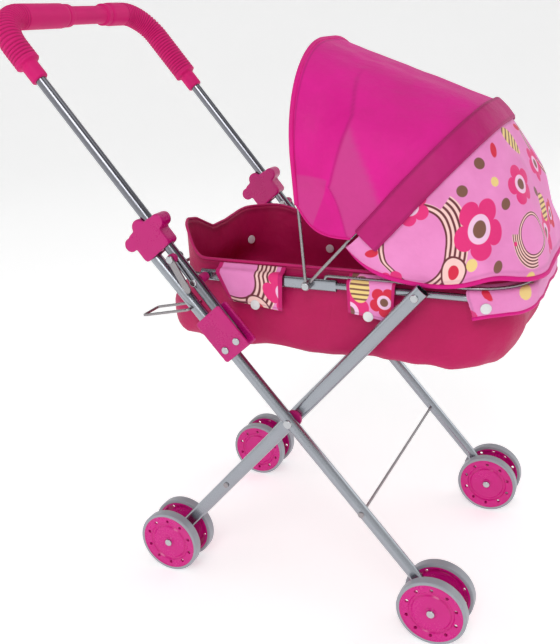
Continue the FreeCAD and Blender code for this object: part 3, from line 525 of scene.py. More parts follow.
def grid(name: str, points: np.ndarray, cloth: np.ndarray, finish: Finish,
         wrap: bool = False, marks: Optional[dict[str, np.ndarray]] = None) -> bpy.types.Object:
    """A smooth surface from a grid of points.

    Args:
        name: The piece's name.
        points: Places, rows by columns by 3.
        cloth: Cloth coordinates in metres, one column more than points when it wraps.
        finish: What it is made of.
        wrap: Join the last column to the first.
        marks: Numbers stored on the mesh, each rows by columns.

    Returns:
        The object.
    """
    rows, columns = points.shape[:2]
    last = columns if wrap else columns - 1
    faces = []
    corners = []
    for i in range(rows - 1):
        for j in range(last):
            k = (j + 1) % columns
            faces.append((i * columns + j, i * columns + k, (i + 1) * columns + k,
                          (i + 1) * columns + j))
            corners += [cloth[i, j], cloth[i, j + 1], cloth[i + 1, j + 1], cloth[i + 1, j]]
    mesh = bpy.data.meshes.new(name)
    mesh.from_pydata([tuple(p) for p in points.reshape(-1, 3)], [], faces)
    layer = mesh.uv_layers.new(name="cloth")
    layer.data.foreach_set("uv", np.asarray(corners, float).ravel())
    for key, values in (marks or {}).items():
        mesh.attributes.new(key, "FLOAT", "POINT").data.foreach_set("value", values.ravel())
    mesh.shade_smooth()
    mesh.materials.append(finish.material())
    return place(bpy.data.objects.new(name, mesh))


def settle(piece: bpy.types.Object) -> bpy.types.Object:
    """Turn a piece's modifiers into plain mesh."""
    graph = bpy.context.evaluated_depsgraph_get()
    mesh = bpy.data.meshes.new_from_object(piece.evaluated_get(graph), depsgraph=graph)
    piece.modifiers.clear()
    piece.data = mesh
    mesh.shade_smooth()
    return piece


def thicken(piece: bpy.types.Object, thickness: float, offset: float) -> bpy.types.Object:
    """Give a sheet its thickness, to one side at offset 1 or -1, to both at 0."""
    solid = piece.modifiers.new("thick", "SOLIDIFY")
    solid.thickness = thickness
    solid.offset = offset
    solid.use_quality_normals = True
    return settle(piece)


def tube(name: str, path: np.ndarray, radius: Union[float, np.ndarray], finish: Finish,
         sides: int = 12, closed: bool = False,
         marks: Optional[dict[str, np.ndarray]] = None) -> bpy.types.Object:
    """A round tube along a path.

    Args:
        name: The piece's name.
        path: Places along its middle.
        radius: One radius, or one for each place.
        finish: What it is made of.
        sides: Points round it.
        closed: Join its ends.
        marks: Numbers stored on the mesh, one for each place.

    Returns:
        The object.
    """
    count = len(path)
    radii = np.broadcast_to(np.asarray(radius, float), (count,))
    if closed:
        ahead = np.roll(path, -1, axis=0) - np.roll(path, 1, axis=0)
    else:
        ahead = np.gradient(path, axis=0)
    ahead /= np.linalg.norm(ahead, axis=1, keepdims=True)
    side = np.cross(ahead[0], (0.31, 0.53, 0.79))
    rings = []
    turns = np.linspace(0, 2 * math.pi, sides, endpoint=False)
    along = np.concatenate(([0.0], np.cumsum(np.linalg.norm(np.diff(path, axis=0), axis=1))))
    for i in range(count):
        side = side - ahead[i] * np.dot(side, ahead[i])
        side /= np.linalg.norm(side)
        up = np.cross(ahead[i], side)
        ring = np.outer(np.cos(turns), side) + np.outer(np.sin(turns), up)
        rings.append(path[i] + radii[i] * ring)
    points = np.array(rings)
    round_it = np.linspace(0, 1, sides + 1) * 2 * math.pi * float(radii.max())
    cloth = np.stack(np.broadcast_arrays(along[:, None], round_it[None, :]), axis=-1)
    grown = {k: np.repeat(v[:, None], sides, axis=1) for k, v in (marks or {}).items()}
    if closed:
        points = np.concatenate([points, points[:1]])
        cloth = np.concatenate([cloth, cloth[-1:] + (along[-1] / count, 0)])
        grown = {k: np.concatenate([v, v[:1]]) for k, v in grown.items()}
    piece = grid(name, points, cloth, finish, wrap=True, marks=grown)
    if not closed:
        cap_ends(piece, sides, count)
    return piece


def cap_ends(piece: bpy.types.Object, sides: int, count: int) -> None:
    """Close a tube's two ends."""
    shell = bmesh.new()
    shell.from_mesh(piece.data)
    shell.verts.ensure_lookup_table()
    first = [shell.verts[i] for i in range(sides)]
    last = [shell.verts[(count - 1) * sides + i] for i in range(sides)]
    shell.faces.new(list(reversed(first)))
    shell.faces.new(last)
    bmesh.ops.recalc_face_normals(shell, faces=shell.faces)
    shell.to_mesh(piece.data)
    shell.free()
    piece.data.shade_smooth()


def lathe(name: str, outline: Sequence[tuple[float, float]], origin: Vector, axis: Vector,
          finish: Finish, sides: int = 32) -> bpy.types.Object:
    """Turn an outline of (radius, height) pairs about an axis."""
    turns = np.linspace(0, 2 * math.pi, sides, endpoint=False)
    spin = np.array(axis.normalized().to_track_quat("Z", "Y").to_matrix())
    rows = []
    for radius, height in outline:
        ring = np.stack([radius * np.cos(turns), radius * np.sin(turns),
                         np.full(sides, height)], axis=-1)
        rows.append(ring @ spin.T + np.array(origin))
    points = np.array(rows)
    cloth = np.zeros((len(outline), sides + 1, 2))
    return grid(name, points, cloth, finish, wrap=True)


def ripple(points: np.ndarray, height: float, pitch: float, seed: float) -> np.ndarray:
    """Soft random heights over places, from -height to height."""
    flat = points.reshape(-1, 3)
    shift = Vector((seed * 7.1, seed * 3.7, seed * 1.3))
    values = [noise.noise(Vector(p) / pitch + shift) for p in flat]
    return height * np.array(values).reshape(points.shape[:-1])


def normals(points: np.ndarray) -> np.ndarray:
    """Unit normals of a grid of points."""
    across = np.gradient(points, axis=1)
    down = np.gradient(points, axis=0)
    out = np.cross(across, down)
    size = np.linalg.norm(out, axis=-1, keepdims=True)
    return out / np.maximum(size, 1e-9)


def lengths(points: np.ndarray, axis: int) -> np.ndarray:
    """Distance run along one axis of a grid of points."""
    steps = np.linalg.norm(np.diff(points, axis=axis), axis=-1)
    run = np.cumsum(steps, axis=axis)
    zero = np.zeros_like(np.take(run, [0], axis=axis))
    return np.concatenate([zero, run], axis=axis)


def measured(points: np.ndarray) -> np.ndarray:
    """Cloth coordinates of a grid of points, in metres along its rows and columns."""
    return np.stack([lengths(points, 1), lengths(points, 0)], axis=-1)


def round_cloth(points: np.ndarray) -> np.ndarray:
    """Cloth coordinates of a grid that closes on itself, measured round its first row."""
    closed = np.concatenate([points, points[:, :1]], axis=1)
    return np.stack([lengths(closed, 1)[:1].repeat(len(points), 0), lengths(closed, 0)], axis=-1)


def evenly(places: np.ndarray, count: int) -> np.ndarray:
    """Places spaced evenly along a line of pairs."""
    run = np.concatenate(([0], np.cumsum(np.linalg.norm(np.diff(places, axis=0), axis=1))))
    at = np.linspace(0, run[-1], count)
    return np.column_stack([np.interp(at, run, places[:, k]) for k in (0, 1)])


def joint_place(name: str) -> np.ndarray:
    """Where a hinge of the frame sits."""
    found = next(j for j in frame["joints"] if j["name"] == name)
    return np.array(found["pos_m"], float)


def ease(t: np.ndarray) -> np.ndarray:
    """Smooth step of a number held between 0 and 1."""
    t = np.clip(t, 0, 1)
    return t * t * (3 - 2 * t)


# ---------------------------------------------------------------- sub-assemblies
@dataclass
class Metalwork:
    """Dresses the frame's own tubes, wires, wheels and mouldings."""

    finishes: dict[str, Finish] = field(default_factory=lambda: {
        "front_leg": Finish.SILVER, "rear_leg": Finish.SILVER, "side_rail": Finish.SILVER,
        "head_rail": Finish.SILVER, "handle_tube": Finish.CHROME, "front_cross": Finish.WIRE,
        "rear_cross": Finish.WIRE, "latch_bail": Finish.WIRE, "catch_lever": Finish.WIRE,
        "foot_wire": Finish.WIRE, "hood_base": Finish.WIRE, "hood_bow": Finish.WIRE,
        "front_axle": Finish.RIVET, "rear_axle": Finish.RIVET, "frame_rivets": Finish.RIVET,
        "handle_rivets": Finish.RIVET, "rail_pivots": Finish.RIVET, "hood_rivets": Finish.RIVET,
        "hub_": Finish.HUB, "tyre_": Finish.TYRE, "hinge_block": Finish.BLOCK,
        "slide_collar": Finish.BLOCK, "cross_spacers": Finish.SPACER,
        "handle_spacers": Finish.SPACER, "rail_washers": Finish.SPACER})

    def dress(self) -> None:
        """Give each fixed node its finish."""
        for name, node in frame["nodes"].items():
            found = [f for start, f in self.finishes.items() if name.startswith(start)]
            if found:
                node.data.materials.clear()
                node.data.materials.append(found[0].material())
                LOG.info("%s is %s", name, found[0].value.name)


@dataclass
class Mouldings:
    """Collars and hinge blocks with the round edges of moulded plastic."""

    voxel: float = 0.7 * MM
    collar_passes: int = 24
    block_passes: int = 3
    nodes: tuple[str, ...] = ("slide_collar_right", "slide_collar_left",
                              "hinge_block_right", "hinge_block_left")

    def build(self) -> None:
        """Soften a copy of each moulding and let it stand for the sharp one."""
        for name in self.nodes:
            body = "front_frame" if name.startswith("hinge") else name.replace("slide_", "")
            mesh = frame["nodes"][name].data.copy()
            piece = place(bpy.data.objects.new(name + "_moulding", mesh))
            shape = piece.modifiers.new("shape", "REMESH")
            shape.mode = "VOXEL"
            shape.voxel_size = self.voxel
            soft = piece.modifiers.new("soft", "SMOOTH")
            soft.factor = 0.5
            collar = name.startswith("slide")
            soft.iterations = self.collar_passes if collar else self.block_passes
            settle(piece)
            piece.data.materials.clear()
            piece.data.materials.append(Finish.BLOCK.material())
            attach(piece, body)
            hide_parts(name)
            LOG.info("%s_moulding on %s", name, body)


@dataclass
class Grips:
    """Ribbed foam on the handle's bends, and the plain sleeve on its cross bar."""

    side_y: float = 112 * MM
    reach: float = 339 * MM
    bend: float = 32 * MM
    angle: float = math.radians(50.45)
    start: float = 257.5 * MM
    shift: float = 16 * MM
    sleeve_half: float = 34 * MM
    thick: float = 11.2 * MM
    cuff: float = 7.5 * MM
    cuff_length: float = 15 * MM
    rib_pitch: float = 3.1 * MM
    rib_depth: float = 1.1 * MM
    sample: float = 0.5 * MM
    end_round: float = 6 * MM
    sleeve_radius: float = 8.5 * MM
    ring_height: float = 2.0 * MM
    ring_width: float = 7.4 * MM

    def on_handle(self, along: float, y: float) -> np.ndarray:
        """A place along the handle from its pivot."""
        way = np.array((-math.cos(self.angle), 0, math.sin(self.angle)))
        return joint_place("handle_fold") * (1, 0, 1) + way * along + (0, y, 0)

    def path(self, low: float, sign: int) -> tuple[np.ndarray, float]:
        """Middle line of one bent section.

        Args:
            low: Where it starts along the handle.
            sign: -1 for the right side, 1 for the left.

        Returns:
            The places, and the length up to the bend's end.
        """
        straight = self.reach - self.bend - low
        arc = self.bend * math.pi / 2
        inner = sign * self.sleeve_half + self.shift
        flat = abs(inner - sign * (self.side_y - self.bend))
        total = straight + arc + flat
        places = []
        for s in np.arange(0, total + self.sample / 2, self.sample):
            if s < straight:
                places.append(self.on_handle(low + s, sign * self.side_y))
            elif s < straight + arc:
                a = (s - straight) / self.bend
                along = self.reach - self.bend + self.bend * math.sin(a)
                y = sign * (self.side_y - self.bend * (1 - math.cos(a)))
                places.append(self.on_handle(along, y))
            else:
                y = sign * (self.side_y - self.bend - (s - straight - arc))
                places.append(self.on_handle(self.reach, y))
        return np.array(places), straight + arc

    def section(self, side: str, sign: int) -> None:
        """One bent section with its cuff, ribs and rounded end."""
        low = self.start - sign * self.shift
        path, bent = self.path(low, sign)
        s = np.arange(len(path)) * self.sample
        total = s[-1]
        radius = self.cuff + (self.thick - self.cuff) * ease((s - self.cuff_length) / (2.5 * MM))
        wave = 0.5 - 0.5 * np.cos(2 * math.pi * s / self.rib_pitch)
        begun = ease((s - self.cuff_length - 3 * MM) / (2 * MM))
        groove = (1 - wave) ** 3 * (begun * ease((bent + 6 * MM - s) / (4 * MM)))
        radius = radius - self.rib_depth * groove
        round_end = np.clip((total - s) / self.end_round, 0, 1)
        radius = radius * (0.80 + 0.20 * np.sqrt(1 - (1 - round_end) ** 2))
        radius = radius - 1.2 * MM * (1 - np.clip(s / (1.2 * MM), 0, 1)) ** 2
        name = "grip_" + side
        # The groove mark also sets where the foam is painted darker in the grooves: painted shade.
        piece = tube(name + "_foam", path, radius, Finish.GRIP, 28, marks={"groove": groove})
        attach(piece, "handle")
        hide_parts(name)
        LOG.info("%s_foam: %.0f mm long", name, total / MM)

    def sleeve(self) -> None:
        """Plain sleeve with a soft ring at each end."""
        s = np.arange(0, 2 * self.sleeve_half + self.sample, self.sample)
        path = np.array([self.on_handle(self.reach, self.shift - self.sleeve_half + x) for x in s])
        edge = np.minimum(s, s[-1] - s)
        ring = ease((self.ring_width - edge) / (1.0 * MM))
        soft = np.sqrt(1 - (1 - np.clip(edge / (1.5 * MM), 0, 1)) ** 2)
        radius = self.sleeve_radius + self.ring_height * ring - 0.6 * MM * (1 - soft)
        piece = tube("grip_middle_sleeve", path, radius, Finish.GRIP, 28)
        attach(piece, "handle")
        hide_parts("grip_middle")
        LOG.info("grip_middle_sleeve: %.0f mm long", s[-1] / MM)

    def build(self) -> None:
        """Make the three sections."""
        self.section("right", -1)
        self.section("left", 1)
        self.sleeve()


@dataclass
class TubPlan:
    """Plan of the tub: a rectangle with round corners, read from the frame."""

    corner: float = 40 * MM

    def __post_init__(self) -> None:
        low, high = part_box("tub")
        self.foot, self.head, self.half = low.x, high.x, high.y
        self.floor, self.rim = low.z, high.z

    def outline(self, grow: float, count: int,
                trim: tuple[float, float] = (0.0, 0.0)) -> np.ndarray:
        """Places round the plan, evenly spaced, starting at the middle of the right side.

        Args:
            grow: How far outside the tub's edge.
            count: How many places.
            trim: How much shorter at the foot and at the head.

        Returns:
            The (x, y) pairs, running forward first.
        """
        x0, x1 = self.foot - grow + trim[0], self.head + grow - trim[1]
        half = self.half + grow
        r = self.corner + grow
        flat_x, flat_y = x1 - x0 - 2 * r, 2 * (half - r)
        arc = r * math.pi / 2
        runs = (flat_x / 2, arc, flat_y, arc, flat_x, arc, flat_y, arc, flat_x / 2)
        ends = np.cumsum(runs)
        middle = (x0 + x1) / 2
        corners = ((x1 - r, -half + r, -90), (x1 - r, half - r, 0), (x0 + r, half - r, 90),
                   (x0 + r, -half + r, 180))
        starts = ((middle, -half, 1, 0), (x1, -half + r, 0, 1), (x1 - r, half, -1, 0),
                  (x0, half - r, 0, -1), (x0 + r, -half, 1, 0))
        places = []
        for s in np.linspace(0, ends[-1], count, endpoint=False):
            k = int(np.searchsorted(ends, s, side="right"))
            run = s - (ends[k - 1] if k else 0.0)
            if k % 2:
                cx, cy, turn = corners[(k - 1) // 2]
                a = math.radians(turn) + run / r
                places.append((cx + r * math.cos(a), cy + r * math.sin(a)))
            else:
                x, y, dx, dy = starts[k // 2]
                places.append((x + dx * run, y + dy * run))
        return np.array(places)


@dataclass
class Tub:
    """Cloth tub with a soft floor, loose rim and a padded base."""

    plan: TubPlan
    columns: int = 260
    cloth: float = 0.8 * MM
    piping: float = 1.3 * MM
    bulge: float = 15 * MM
    sag: float = 6.5 * MM
    inset: float = 0.9 * MM
    turn_under: float = 13 * MM
    head_taper: float = 15 * MM
    lean: float = 1.6 * MM
    wall_rows: int = 26
    smooth_rows: int = 5
    floor_shares: tuple[float, ...] = (0.94, 0.85, 0.7, 0.5, 0.3, 0.12, 0.02)
    foot_rise_y: tuple[float, ...] = (-0.085, -0.074, -0.055, -0.038, -0.008, 0.018, 0.060, 0.085)
    foot_rise_z: tuple[float, ...] = (0.009, 0.022, 0.027, 0.024, 0.010, 0.010, 0.014, 0.013)
    pad_thick: float = 4.4 * MM
    pad_margin: float = 4.5 * MM
    pad_trim: tuple[float, float] = (5 * MM, 16 * MM)
    pad_slope: float = 3.2 * MM
    pad_crown: float = 1.8 * MM
    pad_shares: tuple[float, ...] = (0.93, 0.8, 0.62, 0.42, 0.22, 0.02)

    def rim_rise(self, ring: np.ndarray) -> np.ndarray:
        """How far the loose rim stands above its line, round the plan."""
        x, y = ring[:, 0], ring[:, 1]
        far = ease((y + 0.02) / 0.08)
        foot = np.exp(-((x - self.plan.foot) / 0.045) ** 2)
        waves = 1.6 * MM * np.sin(x * 95) * far
        side = 0.8 * MM + far * (4.5 * MM + 9 * MM * foot) + waves
        at_foot = np.interp(y, self.foot_rise_y, self.foot_rise_z)
        share = ease((self.plan.foot + 33 * MM - x) / (26 * MM))
        return side * (1 - share) + at_foot * share

    def foot_bulge(self, places: np.ndarray, share: float) -> np.ndarray:
        """How far the slack foot end hangs out past its wire."""
        away = ease((self.plan.foot + 62 * MM - places[:, 0]) / (60 * MM))
        return self.bulge * away * share

    def wall(self) -> np.ndarray:
        """Places of the wall, the rim first, and then of the floor."""
        p = self.plan
        tall = p.rim - p.floor + self.sag
        rise = self.rim_rise(p.outline(-self.inset, self.columns))
        rows = []
        for drop in np.linspace(0, 1, self.wall_rows):
            under = np.clip((drop * tall - (tall - self.turn_under)) / self.turn_under, 0, 1)
            tucked = self.turn_under * (1 - math.sqrt(1 - under ** 2)) * 0.75
            head = self.head_taper * max(0.0, (drop - 0.48) / 0.52) ** 1.8
            ring = p.outline(-self.inset - tucked, self.columns, (1.0 * MM * drop, head))
            lift = rise * (1 - ease(drop / 0.40))
            slope = 1.0 * MM * drop * ease((ring[:, 0] - p.foot) / (p.head - p.foot))
            out = ring - ring.mean(axis=0)
            out /= np.linalg.norm(out, axis=1, keepdims=True)
            lean = self.lean * math.sin(math.pi * drop)
            ring = ring + out * lean * ease((drop - 0.3) / 0.3)
            ring[:, 0] -= self.foot_bulge(ring, float(ease(np.array((drop - 0.20) / 0.4))))
            rows.append(np.column_stack([ring, p.rim - tall * drop + lift + slope]))
        edge = rows[-1]
        middle = np.array((edge[:, 0].mean(), 0, edge[:, 2].mean() - 0.4 * MM))
        for t in self.floor_shares:
            rows.append(middle + (edge - middle) * (t, t, 1))
        points = np.array(rows)
        out = normals(points)
        fade = np.clip((np.arange(len(rows)) - self.smooth_rows) / 6, 0.10, 1)[:, None]
        broad = ripple(points, height=3.2 * MM, pitch=0.040, seed=1.0)
        points += out * (broad * fade)[..., None]
        fine = ripple(points * (1, 1, 0.35), height=1.9 * MM, pitch=0.018, seed=2.0)
        points += out * (fine * fade)[..., None]
        return points

    def build(self) -> None:
        """Make the shell, its rim piping and the pad on its floor."""
        points = self.wall()
        rim = points[0]
        cloth = round_cloth(points)
        seam = np.zeros(points.shape[:2])
        seam[1] = 1.0
        seam[self.wall_rows - 1] = 0.9
        piece = grid("tub_cloth", points, cloth, Finish.TUB, wrap=True, marks={"seam": seam})
        thicken(piece, self.cloth, 1.0)
        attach(piece, "bassinet")
        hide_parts("tub")
        hem = tube("tub_rim_piping", rim + (0, 0, 0.6 * MM), self.piping, Finish.TUB_HEM, 10,
                   closed=True)
        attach(hem, "bassinet")
        LOG.info("tub_cloth with rim piping")
        self.pad()

    def pad(self) -> None:
        """Thin padded cover over the base board."""
        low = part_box("base_board")[0]
        p = self.plan
        half = self.pad_thick / 2
        rows = []
        for a in np.linspace(-math.pi / 2, math.pi / 2, 8):
            grow = -self.pad_margin - half + math.cos(a) * half
            ring = p.outline(grow, self.columns, self.pad_trim)
            slope = self.pad_slope * ease((ring[:, 0] - p.foot) / (p.head - p.foot))
            height = low.z + 1.2 * MM + half + math.sin(a) * half + slope
            rows.append(np.column_stack([ring, height]))
        edge = rows[-1]
        middle = np.array((edge[:, 0].mean(), 0, edge[:, 2].mean()))
        for t in self.pad_shares:
            crown = self.pad_crown * (1 - t ** 3)
            rows.append(middle + (edge - middle) * (t, t, 1) + (0, 0, crown))
        points = np.array(rows)
        under = middle + (rows[0] - middle) * (0.02, 0.02, 1)
        points = np.concatenate([[under], points])
        soft = ripple(points[2:], height=0.8 * MM, pitch=0.04, seed=5.0)
        points[2:] += soft[..., None] * (0, 0, 1)
        piece = grid("base_pad", points, round_cloth(points), Finish.TUB, wrap=True)
        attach(piece, "bassinet")
        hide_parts("base_board")
        LOG.info("base_pad")


@dataclass
class Trim:
    """Printed flaps over the rails, printed apron round the head, and their snaps."""

    plan: TubPlan
    cloth: float = 0.6 * MM
    snap_radius: float = 4.3 * MM
    slant: float = 11 * MM
    flap_columns: int = 56
    hang_from: int = 12
    bound_columns: int = 4
    flap_lengths: tuple[float, float] = (58 * MM, 40 * MM)
    foot_flap_reach: tuple[float, float] = (9 * MM, 5 * MM)
    apron_columns: int = 150
    # Cross-sections in millimetres: (outside the tub's edge, above the rim).
    over_rail: tuple[tuple[float, float], ...] = (
        (0.1, -0.8), (0.9, -1.2), (2.6, -2.8), (4.6, -4.3), (7.2, -4.4), (8.8, -5.6),
        (9.35, -8.4), (9.4, -13.0), (9.45, -19.0), (9.35, -26.0), (9.1, -33.5))
    over_head: tuple[tuple[float, float], ...] = (
        (-2.4, -7.0), (-2.4, -3.2), (-1.2, -1.2), (1.0, -2.4), (3.0, -4.6), (5.5, -5.0),
        (7.6, -5.4), (9.0, -7.0), (9.6, -10.5), (9.9, -15.0), (9.8, -20.0), (9.3, -24.2))

    def cut_from(self, index: int, sign: int) -> tuple[float, float]:
        """Where in the print a flap is cut from, so that no two are alike."""
        return {(1, -1): (0.000, 0.098), (2, -1): (0.139, 0.060),
                (1, 1): (0.070, 0.088), (2, 1): (0.050, 0.118)}[index, sign]

    def flap(self, index: int, sign: int, x0: float, x1: float) -> None:
        """One flap, from inside the tub over a side rail and down to its lower edge.

        Args:
            index: 1 at the foot end, 2 at the head end.
            sign: -1 for the right side, 1 for the left.
            x0: Its rear edge.
            x1: Its front edge.
        """
        p = self.plan
        profile = self.fine(self.over_rail, 40)
        points = np.zeros((len(profile), self.flap_columns, 3))
        for i, (out, up) in enumerate(profile):
            hang = max(0.0, (i - self.hang_from) / (len(profile) - 1 - self.hang_from))
            for j in range(self.flap_columns):
                u = j / (self.flap_columns - 1)
                shear = self.slant * (1 - u) * hang * (index == 1)
                narrow = 1.2 * MM * hang * (1 - 2 * u) + shear
                tilt = 5.0 * MM * hang * (0.5 - u)
                wave = 0.35 * MM * hang * math.sin(u * 9 + index + sign)
                points[i, j] = (x0 + (x1 - x0) * u + narrow,
                                sign * (p.half + out * MM + wave - 0.35 * MM * hang),
                                p.rim + up * MM + tilt)
        rough = ripple(points, height=0.25 * MM, pitch=0.012, seed=3.0 + index)
        points += rough[..., None] * (0, sign, 0.6)
        run = measured(points)
        cloth = run * (1, -1) + self.cut_from(index, sign)
        edge = np.zeros(points.shape[:2])
        edge[-3] = 1
        bind = np.zeros(points.shape[:2])
        bind[:, :self.bound_columns] = bind[:, -self.bound_columns:] = 1.0
        name = f"flap_{'right' if sign < 0 else 'left'}_{index}"
        piece = grid(name, points, cloth, Finish.PRINT, marks={"seam": edge, "bind": bind})
        thicken(piece, self.cloth, 1.0 if sign > 0 else -1.0)
        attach(piece, "bassinet")
        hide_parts("side_flaps")
        x1 - x0
        LOG.info("%s: %.0f by %.0f mm", name, (x1 - x0) / MM, run[..., 1].max() / MM)

    def fine(self, profile: Sequence[tuple[float, float]], count: int) -> np.ndarray:
        """Smooth a cross-section and space its places evenly."""
        pts = np.array(profile, float)
        for _ in range(2):
            cut = np.empty((2 * len(pts), 2))
            cut[0], cut[-1] = pts[0], pts[-1]
            cut[1:-1:2] = 0.75 * pts[:-1] + 0.25 * pts[1:]
            cut[2::2] = 0.25 * pts[:-1] + 0.75 * pts[1:]
            pts = cut
        return evenly(pts, count)

    def head_ring(self, grow: float, start_x: float, count: int) -> np.ndarray:
        """Places round the head end only, right side first."""
        ring = self.plan.outline(grow, 1600)
        order = np.argsort(np.arctan2(ring[:, 1], ring[:, 0] - start_x))
        ring = ring[order]
        return evenly(ring[ring[:, 0] >= start_x], count)

    def apron(self) -> None:
        """Printed apron hung over the head rail, bound along its lower edge."""
        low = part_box("head_apron")[0]
        p = self.plan
        profile = self.fine(self.over_head, 34)
        count = self.apron_columns
        u = np.linspace(0, 1, count)
        away = np.clip(np.minimum(u, 1 - u) / 0.12, 0, 1)
        rows = []
        for i, (out, up) in enumerate(profile):
            hang = ease(np.array((i - 14) / (len(profile) - 15)))
            ring = self.head_ring(out * MM, low.x + 5.5 * MM * float(hang), count)
            scallop = 0.9 * MM * np.sin(u * 26) * hang
            lift = -1.5 * MM * hang * (1 - away) + 1.6 * MM * hang * away
            rows.append(np.column_stack([ring, np.full(count, p.rim + up * MM) + scallop + lift]))
        points = np.array(rows)
        hanging = ease((np.arange(len(rows)) - self.hang_from) / 10)[:, None]
        rough = ripple(points, height=1.0 * MM, pitch=0.022, seed=9.0) * hanging
        points += normals(points) * rough[..., None]
        run = measured(points)
        edge = np.zeros(points.shape[:2])
        edge[:, 1] = edge[:, -2] = 0.8
        piece = grid("head_apron_cloth", points, run * (1, -1) + (0.036, 0.030), Finish.PRINT,
                     marks={"seam": edge})
        thicken(piece, self.cloth, 0.0)
        binding = tube("head_apron_binding", points[-1] + (0, 0, -0.4 * MM), 1.5 * MM,
                       Finish.PIPING, 10)
        for each in (piece, binding):
            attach(each, "bassinet")
        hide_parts("head_apron")

    def snap(self, index: int, at: Vector, way: Vector, thick: float) -> None:
        """A domed press-snap cap with a rolled rim."""
        r = self.snap_radius
        outline = [(0.02 * MM, -0.1 * MM), (r, -0.1 * MM), (r, thick * 0.35),
                   (r * 0.95, thick * 0.62), (r * 0.84, thick * 0.70), (r * 0.78, thick * 0.62),
                   (r * 0.66, thick * 0.82), (r * 0.4, thick * 0.97), (0.02 * MM, thick)]
        piece = lathe(f"snap_{index}", outline, at, way, Finish.SNAP, 36)
        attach(piece, "bassinet")
        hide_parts("snaps")

    def snaps(self, spans: list[tuple[float, float]]) -> None:
        """Caps on the flaps and apron, and their backs inside the tub."""
        p = self.plan
        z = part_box("side_flaps")[0].z + 3.2 * MM
        index = 0
        for x0, x1 in spans:
            for sign in (-1, 1):
                x = (x0 + x1) / 2 - 2 * MM
                outer = Vector((x, sign * (p.half + 9.25 * MM), z))
                self.snap(index, outer, Vector((0, sign, 0)), 1.15 * MM)
                inner = Vector((x, sign * (p.half - 3.4 * MM), z + 4 * MM))
                self.snap(index + 1, inner, Vector((0, -sign, 0)), 1.1 * MM)
                index += 2
        turn = math.radians(20)
        for sign in (-1, 1):
            way = Vector((math.sin(turn), sign * math.cos(turn), 0))
            corner = Vector((p.head - p.corner, sign * (p.half - p.corner), p.rim - 17.5 * MM))
            self.snap(index, corner + way * (p.corner + 9.9 * MM), way, 1.4 * MM)
            index += 1
        turn = math.radians(28)
        way = Vector((-math.cos(turn), math.sin(turn), 0))
        corner = Vector((p.foot + p.corner, p.half - p.corner, p.rim - 20 * MM))
        self.snap(index, corner + way * (p.corner - 1.0 * MM), -way, 1.2 * MM)
        LOG.info("%d snaps", index + 1)

    def build(self) -> None:
        """Make all the printed trim."""
        low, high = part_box("side_flaps")
        foot, head = self.flap_lengths
        spans = [(low.x, low.x + foot), (high.x - head, high.x)]
        for index, (x0, x1) in enumerate(spans, 1):
            back, short = self.foot_flap_reach if index == 1 else (0.0, 0.0)
            for sign in (-1, 1):
                self.flap(index, sign, x0 - back, x1 - short)
        self.apron()
        self.snaps(spans)


